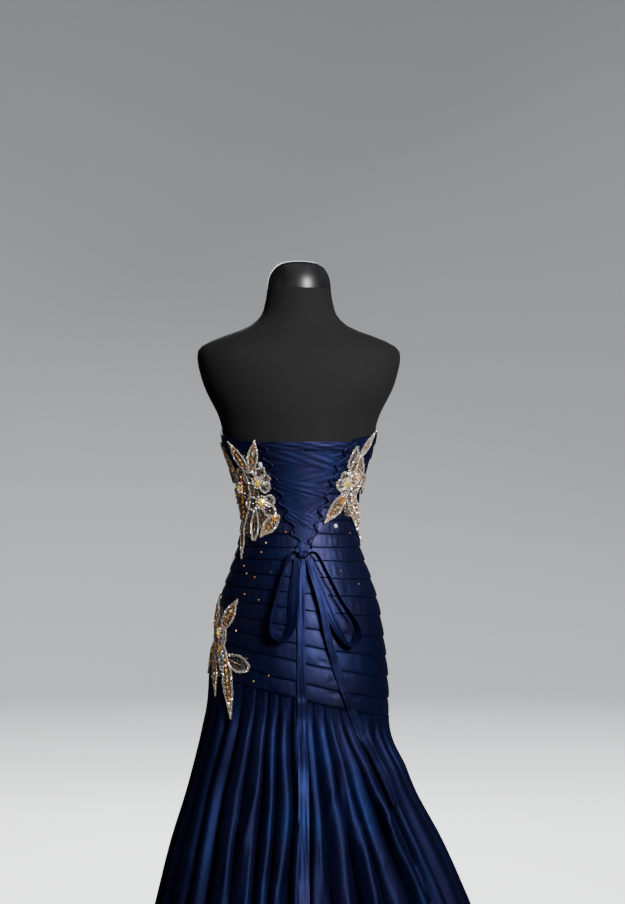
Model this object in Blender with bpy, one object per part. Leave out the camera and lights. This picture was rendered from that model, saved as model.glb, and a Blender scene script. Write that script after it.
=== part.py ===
"""Strapless trumpet-shaped prom dress on a limbless dress form.

Metres, +Z up. The origin is on the floor, under the middle of the stand's base. The laced back of the dress
faces +Y, its front faces -Y, and the wearer's left side is +X. An angle goes round the figure in degrees,
from 0 at the centre back to 90 at the wearer's left side, 180 at the centre front and 270 at the right side.
A negative angle is on the right half of the back.
"""

import bisect
import functools
import math
from collections import namedtuple

import bmesh
import bpy
from mathutils import Vector
from mathutils.geometry import delaunay_2d_cdt

MM = 0.001

# Walls and clearances
SEAM_GAP = 0.3 * MM
FORM_CLEARANCE = 1.6 * MM
BODICE_WALL = 2.0 * MM
SKIRT_WALL = 1.8 * MM
PANEL_WALL = 1.5 * MM
RIBBON_WALL = 1.0 * MM
PLEAT_RISE = 2.5 * MM
BODICE_OUTSIDE = FORM_CLEARANCE + BODICE_WALL

# Heights
TORSO_BOTTOM = 0.720
WAIST = 1.085
BACK_TOP = 1.243
NECK_TOP = 1.525
NECK_CAP_TOP = 1.577
HEM = 0.015
V_BOTTOM = 1.040

# The drop-waist seam is a slanting plane: higher on the wearer's left side
SEAM_HEIGHT = 0.779
SEAM_TILT = 0.25
HIP_HALF_WIDTH = 0.165
HALF_SIDE_GAP = 0.225 * MM

SIDE_SEAM = 90.0

# Searches over the back of the figure
BACK_HALF_TURN = 89.0
HALVINGS = 26
EDGE_ROUNDS = 14

# The bare figure, from the hip to the top of the neck
Section = namedtuple("Section", "height half_width back_depth front_depth squareness")
FIGURE = [
    Section(0.720, 0.1600, 0.108, 0.096, 2.0),
    Section(0.785, 0.1610, 0.116, 0.102, 2.0),
    Section(0.850, 0.1565, 0.117, 0.104, 2.0),
    Section(0.914, 0.1480, 0.112, 0.103, 2.0),
    Section(0.951, 0.1410, 0.106, 0.101, 2.0),
    Section(0.988, 0.1300, 0.099, 0.097, 2.0),
    Section(1.020, 0.1185, 0.093, 0.094, 2.0),
    Section(1.050, 0.1090, 0.089, 0.091, 2.0),
    Section(1.085, 0.1035, 0.086, 0.090, 2.0),
    Section(1.115, 0.1040, 0.086, 0.091, 2.0),
    Section(1.150, 0.1085, 0.089, 0.094, 2.0),
    Section(1.190, 0.1195, 0.093, 0.100, 2.0),
    Section(1.216, 0.1290, 0.096, 0.105, 2.0),
    Section(1.242, 0.1365, 0.099, 0.107, 2.0),
    Section(1.290, 0.1485, 0.103, 0.104, 2.1),
    Section(1.340, 0.1730, 0.104, 0.092, 2.3),
    Section(1.371, 0.1830, 0.101, 0.081, 2.4),
    Section(1.400, 0.1880, 0.094, 0.071, 2.4),
    Section(1.418, 0.1820, 0.088, 0.063, 2.3),
    Section(1.434, 0.1520, 0.079, 0.056, 2.2),
    Section(1.4545, 0.0970, 0.068, 0.050, 2.1),
    Section(1.475, 0.0720, 0.061, 0.048, 2.0),
    Section(1.500, 0.0630, 0.057, 0.050, 2.0),
    Section(1.525, 0.0590, 0.055, 0.053, 2.0),
]
FORM_SIDES = 28
FORM_RING_STEP = 0.033
EVEN_RINGS_TOP = 1.33
SHOULDER_RINGS = [1.352, 1.371, 1.388, 1.402, 1.413, 1.423, 1.433, 1.443, 1.4545, 1.468, 1.485, NECK_TOP]
TORSO_BEVEL = 6 * MM

# The domed cap on the neck: shares of the neck's width, and of the cap's rise
CapRing = namedtuple("CapRing", "width rise")
CAP_RINGS = [
    CapRing(1.0, 0.0),
    CapRing(0.985, 0.16),
    CapRing(0.90, 0.42),
    CapRing(0.72, 0.68),
    CapRing(0.46, 0.88),
    CapRing(0.16, 0.99),
]

# The two cups of the bust
BUST_HEIGHT = 1.232
BUST_HALF_SPACING = 0.073
BUST_RISE = 0.023
BUST_WIDTH = 0.045
BUST_TALLNESS = 0.045
CUP_EASE = 0.10

# The outline of the skirt's fold crests, from the hem to the hip
Flare = namedtuple("Flare", "height left_width right_width back_depth front_depth fold_depth")
FLARE = [
    Flare(0.015, 0.372, 0.460, 0.420, 0.345, 0.046),
    Flare(0.200, 0.317, 0.396, 0.330, 0.285, 0.040),
    Flare(0.389, 0.267, 0.318, 0.250, 0.224, 0.034),
    Flare(0.5035, 0.239, 0.267, 0.205, 0.187, 0.028),
    Flare(0.605, 0.207, 0.213, 0.168, 0.154, 0.022),
    Flare(0.7015, 0.182, 0.181, 0.140, 0.129, 0.015),
    Flare(0.760, 0.171, 0.171, 0.127, 0.115, 0.010),
    Flare(0.830, 0.162, 0.162, 0.121, 0.108, 0.004),
]
HANG_BLEND = 0.10
GATHER_RISE = 3.0 * MM
GATHER_BLEND = 0.030
CREST_CLEARANCE = 0.8 * MM
MIDDLE_OF_SKIRT = 0.60
SKIRT_ROW_SHARES = [0.0, 0.215, 0.43, 0.645, 0.86, 0.93, 0.975, 1.0]
MITRE_LIMIT = 0.75
FOLD_STATIONS = 4
FOLD_ROUNDNESS = 0.75

# The valleys between the skirt's folds: where each runs at the seam, half way and at the hem, and how deep it
# is at the seam and at the hem, as a share of the fold depth
Valley = namedtuple("Valley", "at_seam half_way at_hem gather hang")
VALLEYS = [
    Valley(-90, -90, -90, 0.8, 0.8),
    Valley(-77, -80, -79, 0.6, 0.35),
    Valley(-64, -71, -68, 0.7, 0.75),
    Valley(-53, -58, -58, 0.6, 1.0),
    Valley(-40, -48, -52, 0.7, 0.2),
    Valley(-22, -38, -46, 1.0, 1.0),
    Valley(-17, -25, -33, 0.5, 0.45),
    Valley(-12, -17, -21, 0.7, 0.9),
    Valley(-5, -7, -9, 0.7, 0.5),
    Valley(1, 0, 2, 0.8, 0.75),
    Valley(9, 7, 9, 1.0, 0.6),
    Valley(17, 17, 17, 0.8, 0.4),
    Valley(24, 25, 26, 1.0, 1.0),
    Valley(32, 36, 36, 0.6, 0.5),
    Valley(42, 47, 49, 1.0, 1.1),
    Valley(54, 57, 60, 0.7, 0.35),
    Valley(65, 68, 70, 0.6, 0.9),
    Valley(77, 79, 81, 0.6, 0.45),
    Valley(90, 90, 90, 0.8, 0.8),
    Valley(103, 105, 107, 0.7, 0.95),
    Valley(118, 119, 121, 0.8, 0.5),
    Valley(132, 134, 137, 0.7, 1.0),
    Valley(147, 147, 148, 0.9, 0.6),
    Valley(160, 162, 165, 0.7, 0.95),
    Valley(174, 175, 178, 0.9, 0.7),
    Valley(186, 188, 190, 0.6, 0.5),
    Valley(200, 202, 205, 0.9, 1.0),
    Valley(215, 217, 218, 0.7, 0.6),
    Valley(230, 231, 234, 0.9, 0.95),
    Valley(245, 246, 248, 0.8, 0.7),
    Valley(258, 259, 260, 0.6, 0.9),
]

# The skirt's four panels, in order round the skirt: each starts in the valley at this angle at the seam
SKIRT_PANELS = {
    "skirt_back_right": -90,
    "skirt_back_left": 1,
    "skirt_front_left": 90,
    "skirt_front_right": 174,
}

# The bodice's top edge, the same on both sides
TopEdge = namedtuple("TopEdge", "angle height")
TOP_EDGE = [
    TopEdge(0, BACK_TOP),
    TopEdge(35, 1.246),
    TopEdge(65, 1.253),
    TopEdge(90, 1.263),
    TopEdge(120, 1.281),
    TopEdge(147, 1.300),
    TopEdge(165, 1.288),
    TopEdge(180, 1.264),
]
TOP_EDGE_TILT = 0.035

# The pleats of the bodice: the heights of their lower edges at the centre back, from the seam to the top
LOWER_PLEATS = [0.811, 0.847, 0.879, 0.910, 0.942, 0.971, 1.000, 1.029]
UPPER_PLEATS = 8
PLEAT_STEP = 1.2 * MM
SLIT_ROWS = [V_BOTTOM - PLEAT_STEP, V_BOTTOM + PLEAT_STEP / 2]
BODICE_INSIDE_ROWS = 19
FRONT_COLUMNS = 17
BACK_COLUMNS = 8

# How far each edge of the laced V lies from the centre back
VOpening = namedtuple("VOpening", "height left right")
V_OPENING = [
    VOpening(1.040, 0.0045, 0.0045),
    VOpening(1.058, 0.0115, 0.0135),
    VOpening(1.089, 0.0220, 0.0245),
    VOpening(1.114, 0.0325, 0.0310),
    VOpening(1.139, 0.0405, 0.0410),
    VOpening(1.168, 0.0510, 0.0500),
    VOpening(1.193, 0.0590, 0.0585),
    VOpening(1.216, 0.0670, 0.0700),
    VOpening(1.243, 0.0760, 0.0880),
    VOpening(1.256, 0.0800, 0.0960),
]

# The lacing: a lower and an upper layer of crossing ribbon, over a plain panel
LOOP_LEVELS = 7
LOWEST_LOOP = 1.066
LOOP_PITCH = 0.027
LACING_WIDTH = 0.0255
LAYER_GAP = 0.55 * MM
LOWER_LACING = FORM_CLEARANCE + PANEL_WALL + LAYER_GAP
UPPER_LACING = LOWER_LACING + RIBBON_WALL + LAYER_GAP
TOP_LACING = UPPER_LACING + RIBBON_WALL + LAYER_GAP
LACING_COLUMNS = 9
LACING_TOP_LEVELS = (1.236, 1.236)
LACING_TOP_WIDTH = 0.015
LACING_END_LEVELS = (1.056, 1.047)
LACING_END_WIDTH = 0.009
PANEL_BOTTOM = 1.050
PANEL_TOP = 1.236
PANEL_ROWS = 8
LACING_EDGE_GAP = 0.9 * MM
LEAST_REACH = 1.2 * MM

# The rouleau cord that runs in loops along each edge of the V
ROULEAU_RADIUS = 1.4 * MM
ROULEAU_LIFT = TOP_LACING + RIBBON_WALL + SEAM_GAP + ROULEAU_RADIUS
ROULEAU_INSET = 3.0 * MM
ROULEAU_REACH = 11.0 * MM
ROULEAU_LEAST_ACROSS = 6.0 * MM
ROULEAU_SIDES = 5
ROULEAU_POINTS_PER_LOOP = 5

# The bow. Each row is a point on the ribbon's middle line in millimetres, with how far it stands off the
# dress, how wide the ribbon is there, and how far its face is turned from facing out, in degrees
BowPoint = namedtuple("BowPoint", "across height lift width turn")
BOW_LOOP_LEFT = [
    BowPoint(14.7, 1043, 1.5, 8, 60),
    BowPoint(25, 1041, 8, 13, 75),
    BowPoint(37, 1008, 9, 17, 85),
    BowPoint(51, 958, 8, 18, 88),
    BowPoint(60, 915, 7, 18, 86),
    BowPoint(53, 894, 6, 18, 78),
    BowPoint(38, 893, 5, 18, 62),
    BowPoint(25, 915, 4, 18, 30),
    BowPoint(21, 965, 4, 17, 12),
    BowPoint(16, 1010, 4, 12, 8),
    BowPoint(14, 1034, 5, 8, 0),
]
BOW_LOOP_RIGHT = [
    BowPoint(-8.6, 1043, 1.5, 8, -60),
    BowPoint(-21, 1040, 8, 13, -75),
    BowPoint(-39, 1004, 9, 17, -85),
    BowPoint(-62, 957, 8, 18, -88),
    BowPoint(-86, 918, 7, 18, -86),
    BowPoint(-91, 893, 6, 18, -80),
    BowPoint(-78, 879, 5, 18, -66),
    BowPoint(-62, 897, 4, 18, -34),
    BowPoint(-45, 935, 4, 18, -14),
    BowPoint(-25, 990, 4, 13, -8),
    BowPoint(-10, 1032, 3.4, 8, 0),
]
BOW_TAIL_LEFT = [
    BowPoint(0, 1032.9, 2.2, 8, 0),
    BowPoint(4, 1000, 2.0, 11, 6),
    BowPoint(7, 950, 2.0, 13, -4),
    BowPoint(8, 890, 2.0, 14, 6),
    BowPoint(8, 820, 2.2, 15, -6),
    BowPoint(7, 770, 2.4, 17, 4),
    BowPoint(7, 700, 1.9, 18, -8),
    BowPoint(8, 620, 1.9, 19, 8),
    BowPoint(11, 530, 1.9, 19, -6),
    BowPoint(14, 430, 1.9, 20, 8),
    BowPoint(17, 300, 1.9, 20, 0),
]
BOW_TAIL_RIGHT = [
    BowPoint(-6, 1033.3, 5.6, 8, 0),
    BowPoint(-16, 1000, 13.0, 12, 0),
    BowPoint(-30, 950, 14.0, 13, 0),
    BowPoint(-38, 905, 10.0, 13, 0),
    BowPoint(-48, 865, 5.0, 14, 6),
    BowPoint(-61, 825, 2.2, 15, -6),
    BowPoint(-77, 780, 1.9, 16, 8),
    BowPoint(-96, 732, 2.1, 18, -8),
    BowPoint(-118, 690, 1.8, 19, 8),
    BowPoint(-144, 642, 1.8, 20, -6),
    BowPoint(-166, 590, 1.8, 20, 0),
]
BOW_WALL = 1.2 * MM
BOW_STEPS_PER_POINT = 2
BACK_FLATNESS = 1.6

# The knot: its place, its size and how full it is at even steps along it
KNOT_ACROSS = 3 * MM
KNOT_HEIGHT = 1.040
KNOT_LIFT = 4.5 * MM
KNOT_LENGTH = 19 * MM
KNOT_DEPTH = 11 * MM
KNOT_TALLNESS = 14 * MM
KNOT_FULLNESS = [0.30, 0.79, 0.93, 0.93, 0.86, 0.93, 0.93, 0.79, 0.30]
KNOT_SIDES = 12

# The appliques. A motif starts at a place on the dress, given by the length of arc from the centre back and
# the height, and runs in a direction counted from straight up toward the wearer's right, in millimetres. A
# stone or a stretch of plain net has its middle there
Motif = namedtuple("Motif", "form arc height heading length width")
APPLIQUE_LIFT = 0.5 * MM
APPLIQUE_WALL = 2.2 * MM
APPLIQUE_GRID = 15.0
STONE_RISE = {"crystal": 4.5, "marquise": 3.0}
STONE_SIDES = 6
NET_SIDES = 8
ARC_STEP = 2.0
ARC_STEPS = 80
ARC_LEVEL_STEP = 10
OUTLINE_MERGE = 0.4

# One edge of a petal and of a leaf, from its start to its tip, as shares of its length and half width
EdgePoint = namedtuple("EdgePoint", "along half_width")
PETAL_EDGE = [EdgePoint(0, 0.24), EdgePoint(0.33, 0.80), EdgePoint(0.68, 1.0), EdgePoint(0.98, 0.42)]
LEAF_EDGE = [
    EdgePoint(0, 0.30),
    EdgePoint(0.30, 0.92),
    EdgePoint(0.58, 0.92),
    EdgePoint(0.82, 0.44),
    EdgePoint(1, 0.09),
]

APPLIQUE_BACK_LEFT = [
    Motif("leaf", 136, 1172, -40, 92, 22),
    Motif("leaf", 104, 1186, -41, 78, 20),
    Motif("leaf", 101, 1186, 9, 62, 23),
    Motif("petal", 87, 1169, 18, 32, 23),
    Motif("petal", 87, 1169, 68, 28, 22),
    Motif("petal", 87, 1169, 116, 29, 22),
    Motif("petal", 87, 1169, -60, 38, 26),
    Motif("petal", 79, 1135, 84, 28, 23),
    Motif("petal", 79, 1135, 134, 38, 24),
    Motif("petal", 79, 1135, -100, 38, 26),
    Motif("leaf", 45, 1112, -138, 56, 26),
    Motif("petal", 92, 1126, 184, 64, 20),
    Motif("leaf", 126, 1198, 180, 118, 46),
    Motif("leaf", 131, 1100, 176, 70, 15),
    Motif("leaf", 136, 1150, -104, 56, 28),
    Motif("petal", 142, 1176, -75, 40, 28),
    Motif("net", 104, 1152, 0, 62, 42),
    Motif("net", 108, 1102, 0, 66, 34),
    Motif("net", 72, 1100, -20, 44, 32),
    Motif("net", 108, 1200, -16, 44, 26),
    Motif("crystal", 87, 1169, 0, 16, 16),
    Motif("crystal", 79, 1134, 0, 19, 16),
    Motif("crystal", 134, 1160, 0, 14, 14),
    Motif("marquise", 54, 1106, 22, 20, 9),
]
APPLIQUE_BACK_RIGHT = [
    Motif("leaf", -108, 1212, 43, 72, 16),
    Motif("petal", -104, 1236, 192, 56, 26),
    Motif("petal", -86, 1167, -30, 25, 22),
    Motif("petal", -86, 1167, -98, 27, 23),
    Motif("petal", -86, 1167, -158, 27, 21),
    Motif("petal", -86, 1167, 70, 34, 26),
    Motif("leaf", -85, 1151, -139, 74, 25),
    Motif("leaf", -84, 1140, 143, 100, 14),
    Motif("leaf", -96, 1150, 143, 74, 21),
    Motif("leaf", -112, 1222, 184, 88, 44),
    Motif("leaf", -120, 1186, 128, 62, 26),
    Motif("net", -92, 1130, 0, 48, 30),
    Motif("net", -104, 1176, 20, 60, 34),
    Motif("crystal", -85, 1167, 0, 17, 17),
    Motif("crystal", -110, 1178, 0, 12, 12),
    Motif("marquise", -77, 1139, 30, 22, 9),
]
APPLIQUE_HIP = [
    Motif("leaf", 191, 900, -4, 66, 17),
    Motif("leaf", 172, 898, 36, 76, 27),
    Motif("leaf", 187, 930, 170, 84, 38),
    Motif("leaf", 158, 908, 190, 52, 12),
    Motif("petal", 164, 856, 108, 66, 31),
    Motif("petal", 168, 862, 170, 34, 16),
    Motif("leaf", 194, 868, 171, 88, 18),
    Motif("leaf", 158, 868, 171, 126, 24),
    Motif("leaf", 192, 880, -150, 72, 22),
    Motif("leaf", 194, 896, -28, 66, 20),
    Motif("petal", 172, 884, 180, 44, 38),
    Motif("net", 180, 916, 10, 52, 32),
    Motif("net", 176, 846, 0, 60, 38),
    Motif("crystal", 178, 896, 0, 12, 12),
    Motif("marquise", 174, 866, 8, 20, 9),
    Motif("marquise", 150, 845, 20, 14, 7),
]

# The stand
POLE_RADIUS = 0.0165
BASE_TOP = 0.014
COLLAR_TOP = 0.060
Turned = namedtuple("Turned", "radius height")
BASE_PROFILE = [
    Turned(0.198, 0.0),
    Turned(0.200, 0.002),
    Turned(0.200, 0.008),
    Turned(0.196, 0.012),
    Turned(0.045, BASE_TOP),
]
COLLAR_PROFILE = [
    Turned(0.040, BASE_TOP + SEAM_GAP),
    Turned(0.034, 0.030),
    Turned(0.0262, 0.050),
    Turned(0.0205, COLLAR_TOP),
]
TURNED_STEPS = 24

# Plain finishes: a linear colour, a roughness and a metallic value
Finish = namedtuple("Finish", "colour roughness metallic")
FINISHES = {
    "royal taffeta": Finish((0.012, 0.026, 0.150), 0.36, 0.0),
    "ribbon satin": Finish((0.010, 0.022, 0.120), 0.32, 0.0),
    "beaded applique": Finish((0.62, 0.58, 0.54), 0.30, 0.35),
    "black jersey": Finish((0.010, 0.010, 0.011), 0.85, 0.0),
    "black enamel": Finish((0.015, 0.015, 0.016), 0.35, 0.2),
}
SHARP_EDGE = 40.0


def smooth_step(share):
    """0 below 0, 1 above 1, and an easy curve between."""
    share = min(max(share, 0.0), 1.0)
    return share * share * (3 - 2 * share)


@functools.lru_cache(maxsize=None)
def curve_value(table, key, column):
    """A column's value at a key, on a cubic curve through the table's rows."""
    rows = TABLES[table]
    keys = [row[0] for row in rows]
    key = min(max(key, keys[0]), keys[-1])
    start = min(bisect.bisect_right(keys, key) - 1, len(rows) - 2)
    step = keys[start + 1] - keys[start]
    share = (key - keys[start]) / step

    def slope(index):
        below, above = max(index - 1, 0), min(index + 1, len(rows) - 1)
        rise = getattr(rows[above], column) - getattr(rows[below], column)
        return step * rise / (keys[above] - keys[below])

    square, cube = share**2, share**3
    return (
        (2 * cube - 3 * square + 1) * getattr(rows[start], column)
        + (cube - 2 * square + share) * slope(start)
        + (3 * square - 2 * cube) * getattr(rows[start + 1], column)
        + (cube - square) * slope(start + 1)
    )


TABLES = {"figure": FIGURE, "flare": FLARE, "top": TOP_EDGE, "opening": V_OPENING}


def bell(away):
    """1 at the middle, falling off on both sides."""
    return math.exp(-(away**2) / 2)


def bust_rise(x, height, forward):
    """How far the two cups stand out at a place on the front."""
    upright = bell((height - BUST_HEIGHT) / BUST_TALLNESS)
    cups = [bell((x - centre) / BUST_WIDTH) for centre in (-BUST_HALF_SPACING, BUST_HALF_SPACING)]
    return BUST_RISE * forward * upright * sum(cups)


@functools.lru_cache(maxsize=None)
def figure_outline(angle, height):
    """A point of the bare figure, as x and y."""
    turn = math.radians(angle)
    across, along = math.sin(turn), math.cos(turn)
    power = 2 / curve_value("figure", height, "squareness")
    depth = curve_value("figure", height, "back_depth" if along > 0 else "front_depth")
    x = curve_value("figure", height, "half_width") * math.copysign(abs(across) ** power, across)
    y = depth * math.copysign(abs(along) ** power, along)
    if along < 0:
        y -= bust_rise(x, height, -along)
    return x, y


@functools.lru_cache(maxsize=None)
def flare_outline(angle, height):
    """A point of the skirt's outer outline, as x and y."""
    turn = math.radians(angle)
    across, along = math.sin(turn), math.cos(turn)
    width = curve_value("flare", height, "left_width" if across > 0 else "right_width")
    depth = curve_value("flare", height, "back_depth" if along > 0 else "front_depth")
    return width * across, depth * along


def outward(outline, angle, height):
    """The horizontal direction out of an outline."""
    before, after = outline(angle - 0.5, height), outline(angle + 0.5, height)
    return Vector((before[1] - after[1], after[0] - before[0], 0)).normalized()


def body_point(angle, height, offset):
    """A point level with a place on the figure, at a distance out from it."""
    x, y = figure_outline(angle, height)
    return Vector((x, y, height)) + outward(figure_outline, angle, height) * offset


def seam_height(angle):
    """The height of the slanting drop-waist seam."""
    return SEAM_HEIGHT + SEAM_TILT * HIP_HALF_WIDTH * math.sin(math.radians(angle))


def crest_point(angle, height):
    """A point on the surface that the crests of the skirt's folds lie in."""
    drop = seam_height(angle) - height
    hang = smooth_step(drop / HANG_BLEND)
    lift = BODICE_OUTSIDE + GATHER_RISE
    near = body_point(angle, max(height, TORSO_BOTTOM), lift)
    near.z = height
    return near.lerp(Vector((*flare_outline(angle, height), height)), hang)


def dress_point(angle, height, lift):
    """A point just off the outside of the whole dress."""
    if height > seam_height(angle):
        return body_point(angle, height, BODICE_OUTSIDE + PLEAT_RISE + lift)
    point = crest_point(angle, height)
    return point + Vector((point.x, point.y, 0)).normalized() * (lift + CREST_CLEARANCE)


# Building meshes


def material(name, finish):
    """A plain material with one of the finishes."""
    made = bpy.data.materials.get(name) or bpy.data.materials.new(name)
    made.use_nodes = True
    shader = made.node_tree.nodes["Principled BSDF"]
    shader.inputs["Base Color"].default_value = (*finish.colour, 1)
    shader.inputs["Roughness"].default_value = finish.roughness
    shader.inputs["Metallic"].default_value = finish.metallic
    made.diffuse_color = (*finish.colour, 1)
    return made


def finish_object(name, mesh_builder, finish_name):
    """Turns a bmesh into a named, smooth-shaded object with its faces pointing out."""
    bmesh.ops.recalc_face_normals(mesh_builder, faces=mesh_builder.faces)
    mesh = bpy.data.meshes.new(name)
    mesh_builder.to_mesh(mesh)
    mesh_builder.free()
    mesh.shade_smooth()
    mesh.set_sharp_from_angle(angle=math.radians(SHARP_EDGE))
    mesh.materials.append(material(finish_name, FINISHES[finish_name]))
    made = bpy.data.objects.new(name, mesh)
    bpy.context.scene.collection.objects.link(made)
    return made


def zip_rims(builder, rim, other):
    """Fills the strip between two rims that start and end side by side, whatever their numbers of points."""
    lengths = []
    for line in (rim, other):
        steps = [0.0]
        for start, end in zip(line, line[1:]):
            steps.append(steps[-1] + (end.co - start.co).length)
        lengths.append([step / steps[-1] for step in steps])
    first, second = 0, 0
    while first < len(rim) - 1 or second < len(other) - 1:
        go_first = second == len(other) - 1 or (
            first < len(rim) - 1 and lengths[0][first + 1] <= lengths[1][second + 1]
        )
        if go_first:
            builder.faces.new((rim[first], rim[first + 1], other[second]))
            first += 1
        else:
            builder.faces.new((rim[first], other[second + 1], other[second]))
            second += 1


def wall(name, outside, inside, finish_name):
    """A closed wall between two grids of points, each a list of rows. Their edges are zipped together."""
    builder = bmesh.new()
    grids = [[[builder.verts.new(point) for point in row] for row in grid] for grid in (outside, inside)]
    for grid, turned in zip(grids, (False, True)):
        for low, high in zip(grid, grid[1:]):
            for column in range(len(low) - 1):
                corners = (low[column], low[column + 1], high[column + 1], high[column])
                builder.faces.new(corners[::-1] if turned else corners)
    outer, inner = grids
    rims = (
        (lambda grid: grid[0]),
        (lambda grid: [row[-1] for row in grid]),
        (lambda grid: grid[-1][::-1]),
        (lambda grid: [row[0] for row in reversed(grid)]),
    )
    for rim in rims:
        zip_rims(builder, rim(outer), rim(inner))
    return finish_object(name, builder, finish_name)


def loft(name, rings, finish_name):
    """A solid through closed rings of equal size, with flat ends."""
    builder = bmesh.new()
    loops = [[builder.verts.new(point) for point in ring] for ring in rings]
    for low, high in zip(loops, loops[1:]):
        for side in range(len(low)):
            after = (side + 1) % len(low)
            builder.faces.new((low[side], low[after], high[after], high[side]))
    builder.faces.new(loops[0][::-1])
    builder.faces.new(loops[-1])
    return finish_object(name, builder, finish_name)


def turned(name, profile, finish_name):
    """A solid turned about the stand's axis from (radius, height) points, from the bottom up."""
    rings = []
    for radius, height in profile:
        steps = (math.tau * step / TURNED_STEPS for step in range(TURNED_STEPS))
        rings.append([Vector((radius * math.cos(turn), radius * math.sin(turn), height)) for turn in steps])
    return loft(name, rings, finish_name)


def spread(start, end, count):
    """Evenly spaced numbers from start to end."""
    return [start + (end - start) * index / (count - 1) for index in range(count)]


# The dress form


def make_form():
    """The torso, its neck cap, the pole, its collar and the round base."""
    ring_count = round((EVEN_RINGS_TOP - TORSO_BOTTOM) / FORM_RING_STEP)
    heights = spread(TORSO_BOTTOM + TORSO_BEVEL, EVEN_RINGS_TOP, ring_count) + SHOULDER_RINGS
    rings = [figure_ring(TORSO_BOTTOM, -TORSO_BEVEL)]
    rings += [figure_ring(height, 0.0) for height in heights]
    loft("form_torso", rings, "black jersey")
    make_neck_cap()
    pole = [(POLE_RADIUS, COLLAR_TOP + SEAM_GAP), (POLE_RADIUS, TORSO_BOTTOM - SEAM_GAP)]
    turned("stand_pole", pole, "black enamel")
    turned("stand_collar", COLLAR_PROFILE, "black enamel")
    turned("stand_base", BASE_PROFILE, "black enamel")


def figure_ring(height, offset):
    """A ring of the torso, which the cups of the bodice stand a little off."""
    ring = []
    for side in range(FORM_SIDES):
        angle = -360 * side / FORM_SIDES
        x, _ = figure_outline(angle, height)
        forward = max(-math.cos(math.radians(angle)), 0)
        ring.append(body_point(angle, height, offset - CUP_EASE * bust_rise(x, height, forward)))
    return ring


def make_neck_cap():
    """The domed cap on the neck."""
    base = NECK_TOP + SEAM_GAP
    neck = figure_ring(NECK_TOP, 0.0)
    rings = []
    for width, rise in CAP_RINGS:
        height = base + (NECK_CAP_TOP - base) * rise
        rings.append([Vector((point.x * width, point.y * width, height)) for point in neck])
    loft("form_neck_cap", rings, "black enamel")


# The pleated bodice


def top_height(angle):
    """The height of the bodice's top edge."""
    around = abs((angle + 180) % 360 - 180)
    tilt = -TOP_EDGE_TILT * figure_outline(angle, BACK_TOP)[0] * math.cos(math.radians(around / 2))
    return curve_value("top", around, "height") + tilt


def pleat_line(angle, centre_height):
    """The height of a pleat's edge, which slants with the seam low down and follows the top edge high up."""
    below = smooth_step((WAIST - centre_height) / (WAIST - SEAM_HEIGHT))
    above = smooth_step((centre_height - WAIST) / (BACK_TOP - WAIST))
    slant = (seam_height(angle) - SEAM_HEIGHT) * below
    return centre_height + slant + (top_height(angle) - BACK_TOP) * above


def pleat_rows():
    """Pairs of centre-back height and rise: each pleat is thickest at its lower edge and thins to its top."""
    last = LOWER_PLEATS[-1]
    upper = spread(last, BACK_TOP, UPPER_PLEATS + 2)[1:-1]
    rows = [(SEAM_HEIGHT, PLEAT_RISE)] + [(height, PLEAT_RISE / 2) for height in SLIT_ROWS]
    for height in LOWER_PLEATS + upper:
        rows.append((height - PLEAT_STEP, 0.0))
        rows.append((height + PLEAT_STEP, PLEAT_RISE))
    return sorted(rows) + [(BACK_TOP, PLEAT_RISE / 2)]


def bodice_grids(columns_at):
    """The outer and inner grids of a bodice piece. columns_at gives a row's angles at a centre height."""
    outside = []
    for centre_height, rise in pleat_rows():
        row = []
        for angle in columns_at(centre_height):
            row.append(body_point(angle, pleat_line(angle, centre_height), BODICE_OUTSIDE + rise))
        outside.append(row)
    inside = []
    for centre_height in sorted(spread(SEAM_HEIGHT, BACK_TOP, BODICE_INSIDE_ROWS) + SLIT_ROWS):
        row = []
        for angle in columns_at(centre_height):
            row.append(body_point(angle, pleat_line(angle, centre_height), FORM_CLEARANCE))
        inside.append(row)
    return outside, inside


def opening_edge(height, side):
    """How far across an edge of the V lies at a height, or of the centre-back seam below it."""
    if height < V_BOTTOM:
        return SEAM_GAP / 2
    return curve_value("opening", height, "left" if side > 0 else "right")


def edge_angle(centre_height, side):
    """The angle of the V's edge on a pleat line."""
    angle = 0.0
    for _ in range(EDGE_ROUNDS):
        height = pleat_line(angle, centre_height)
        angle = angle_across(side * opening_edge(height, side), height)
    return angle


def angle_reaching(across, across_at):
    """The angle on the back at which across_at, the distance across at an angle, comes to a distance."""
    low, high = -BACK_HALF_TURN, BACK_HALF_TURN
    for _ in range(HALVINGS):
        middle = (low + high) / 2
        if across_at(middle) < across:
            low = middle
        else:
            high = middle
    return low


def angle_across(across, height):
    """The angle at which the back of the figure is a given distance across."""
    return angle_reaching(across, lambda angle: figure_outline(angle, height)[0])


def make_bodice():
    """The front and the two backs."""
    gap = math.degrees(HALF_SIDE_GAP / HIP_HALF_WIDTH)

    def front_columns(_):
        return spread(SIDE_SEAM + gap, 360 - SIDE_SEAM - gap, FRONT_COLUMNS + 1)

    wall("bodice_front", *bodice_grids(front_columns), "royal taffeta")
    for name, side in (("bodice_back_left", 1), ("bodice_back_right", -1)):

        def back_columns(centre_height, side=side):
            edge = edge_angle(centre_height, side)
            return sorted(spread(edge, side * (SIDE_SEAM - gap), BACK_COLUMNS + 1))

        wall(name, *bodice_grids(back_columns), "royal taffeta")


# The gathered skirt


def valley_angle(valley, share):
    """Where a valley runs, at a share of the way from the hem to the seam."""
    half = (MIDDLE_OF_SKIRT - HEM) / (SEAM_HEIGHT - HEM)
    if share > half:
        return valley.half_way + (valley.at_seam - valley.half_way) * (share - half) / (1 - half)
    return valley.at_hem + (valley.half_way - valley.at_hem) * share / half


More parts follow.
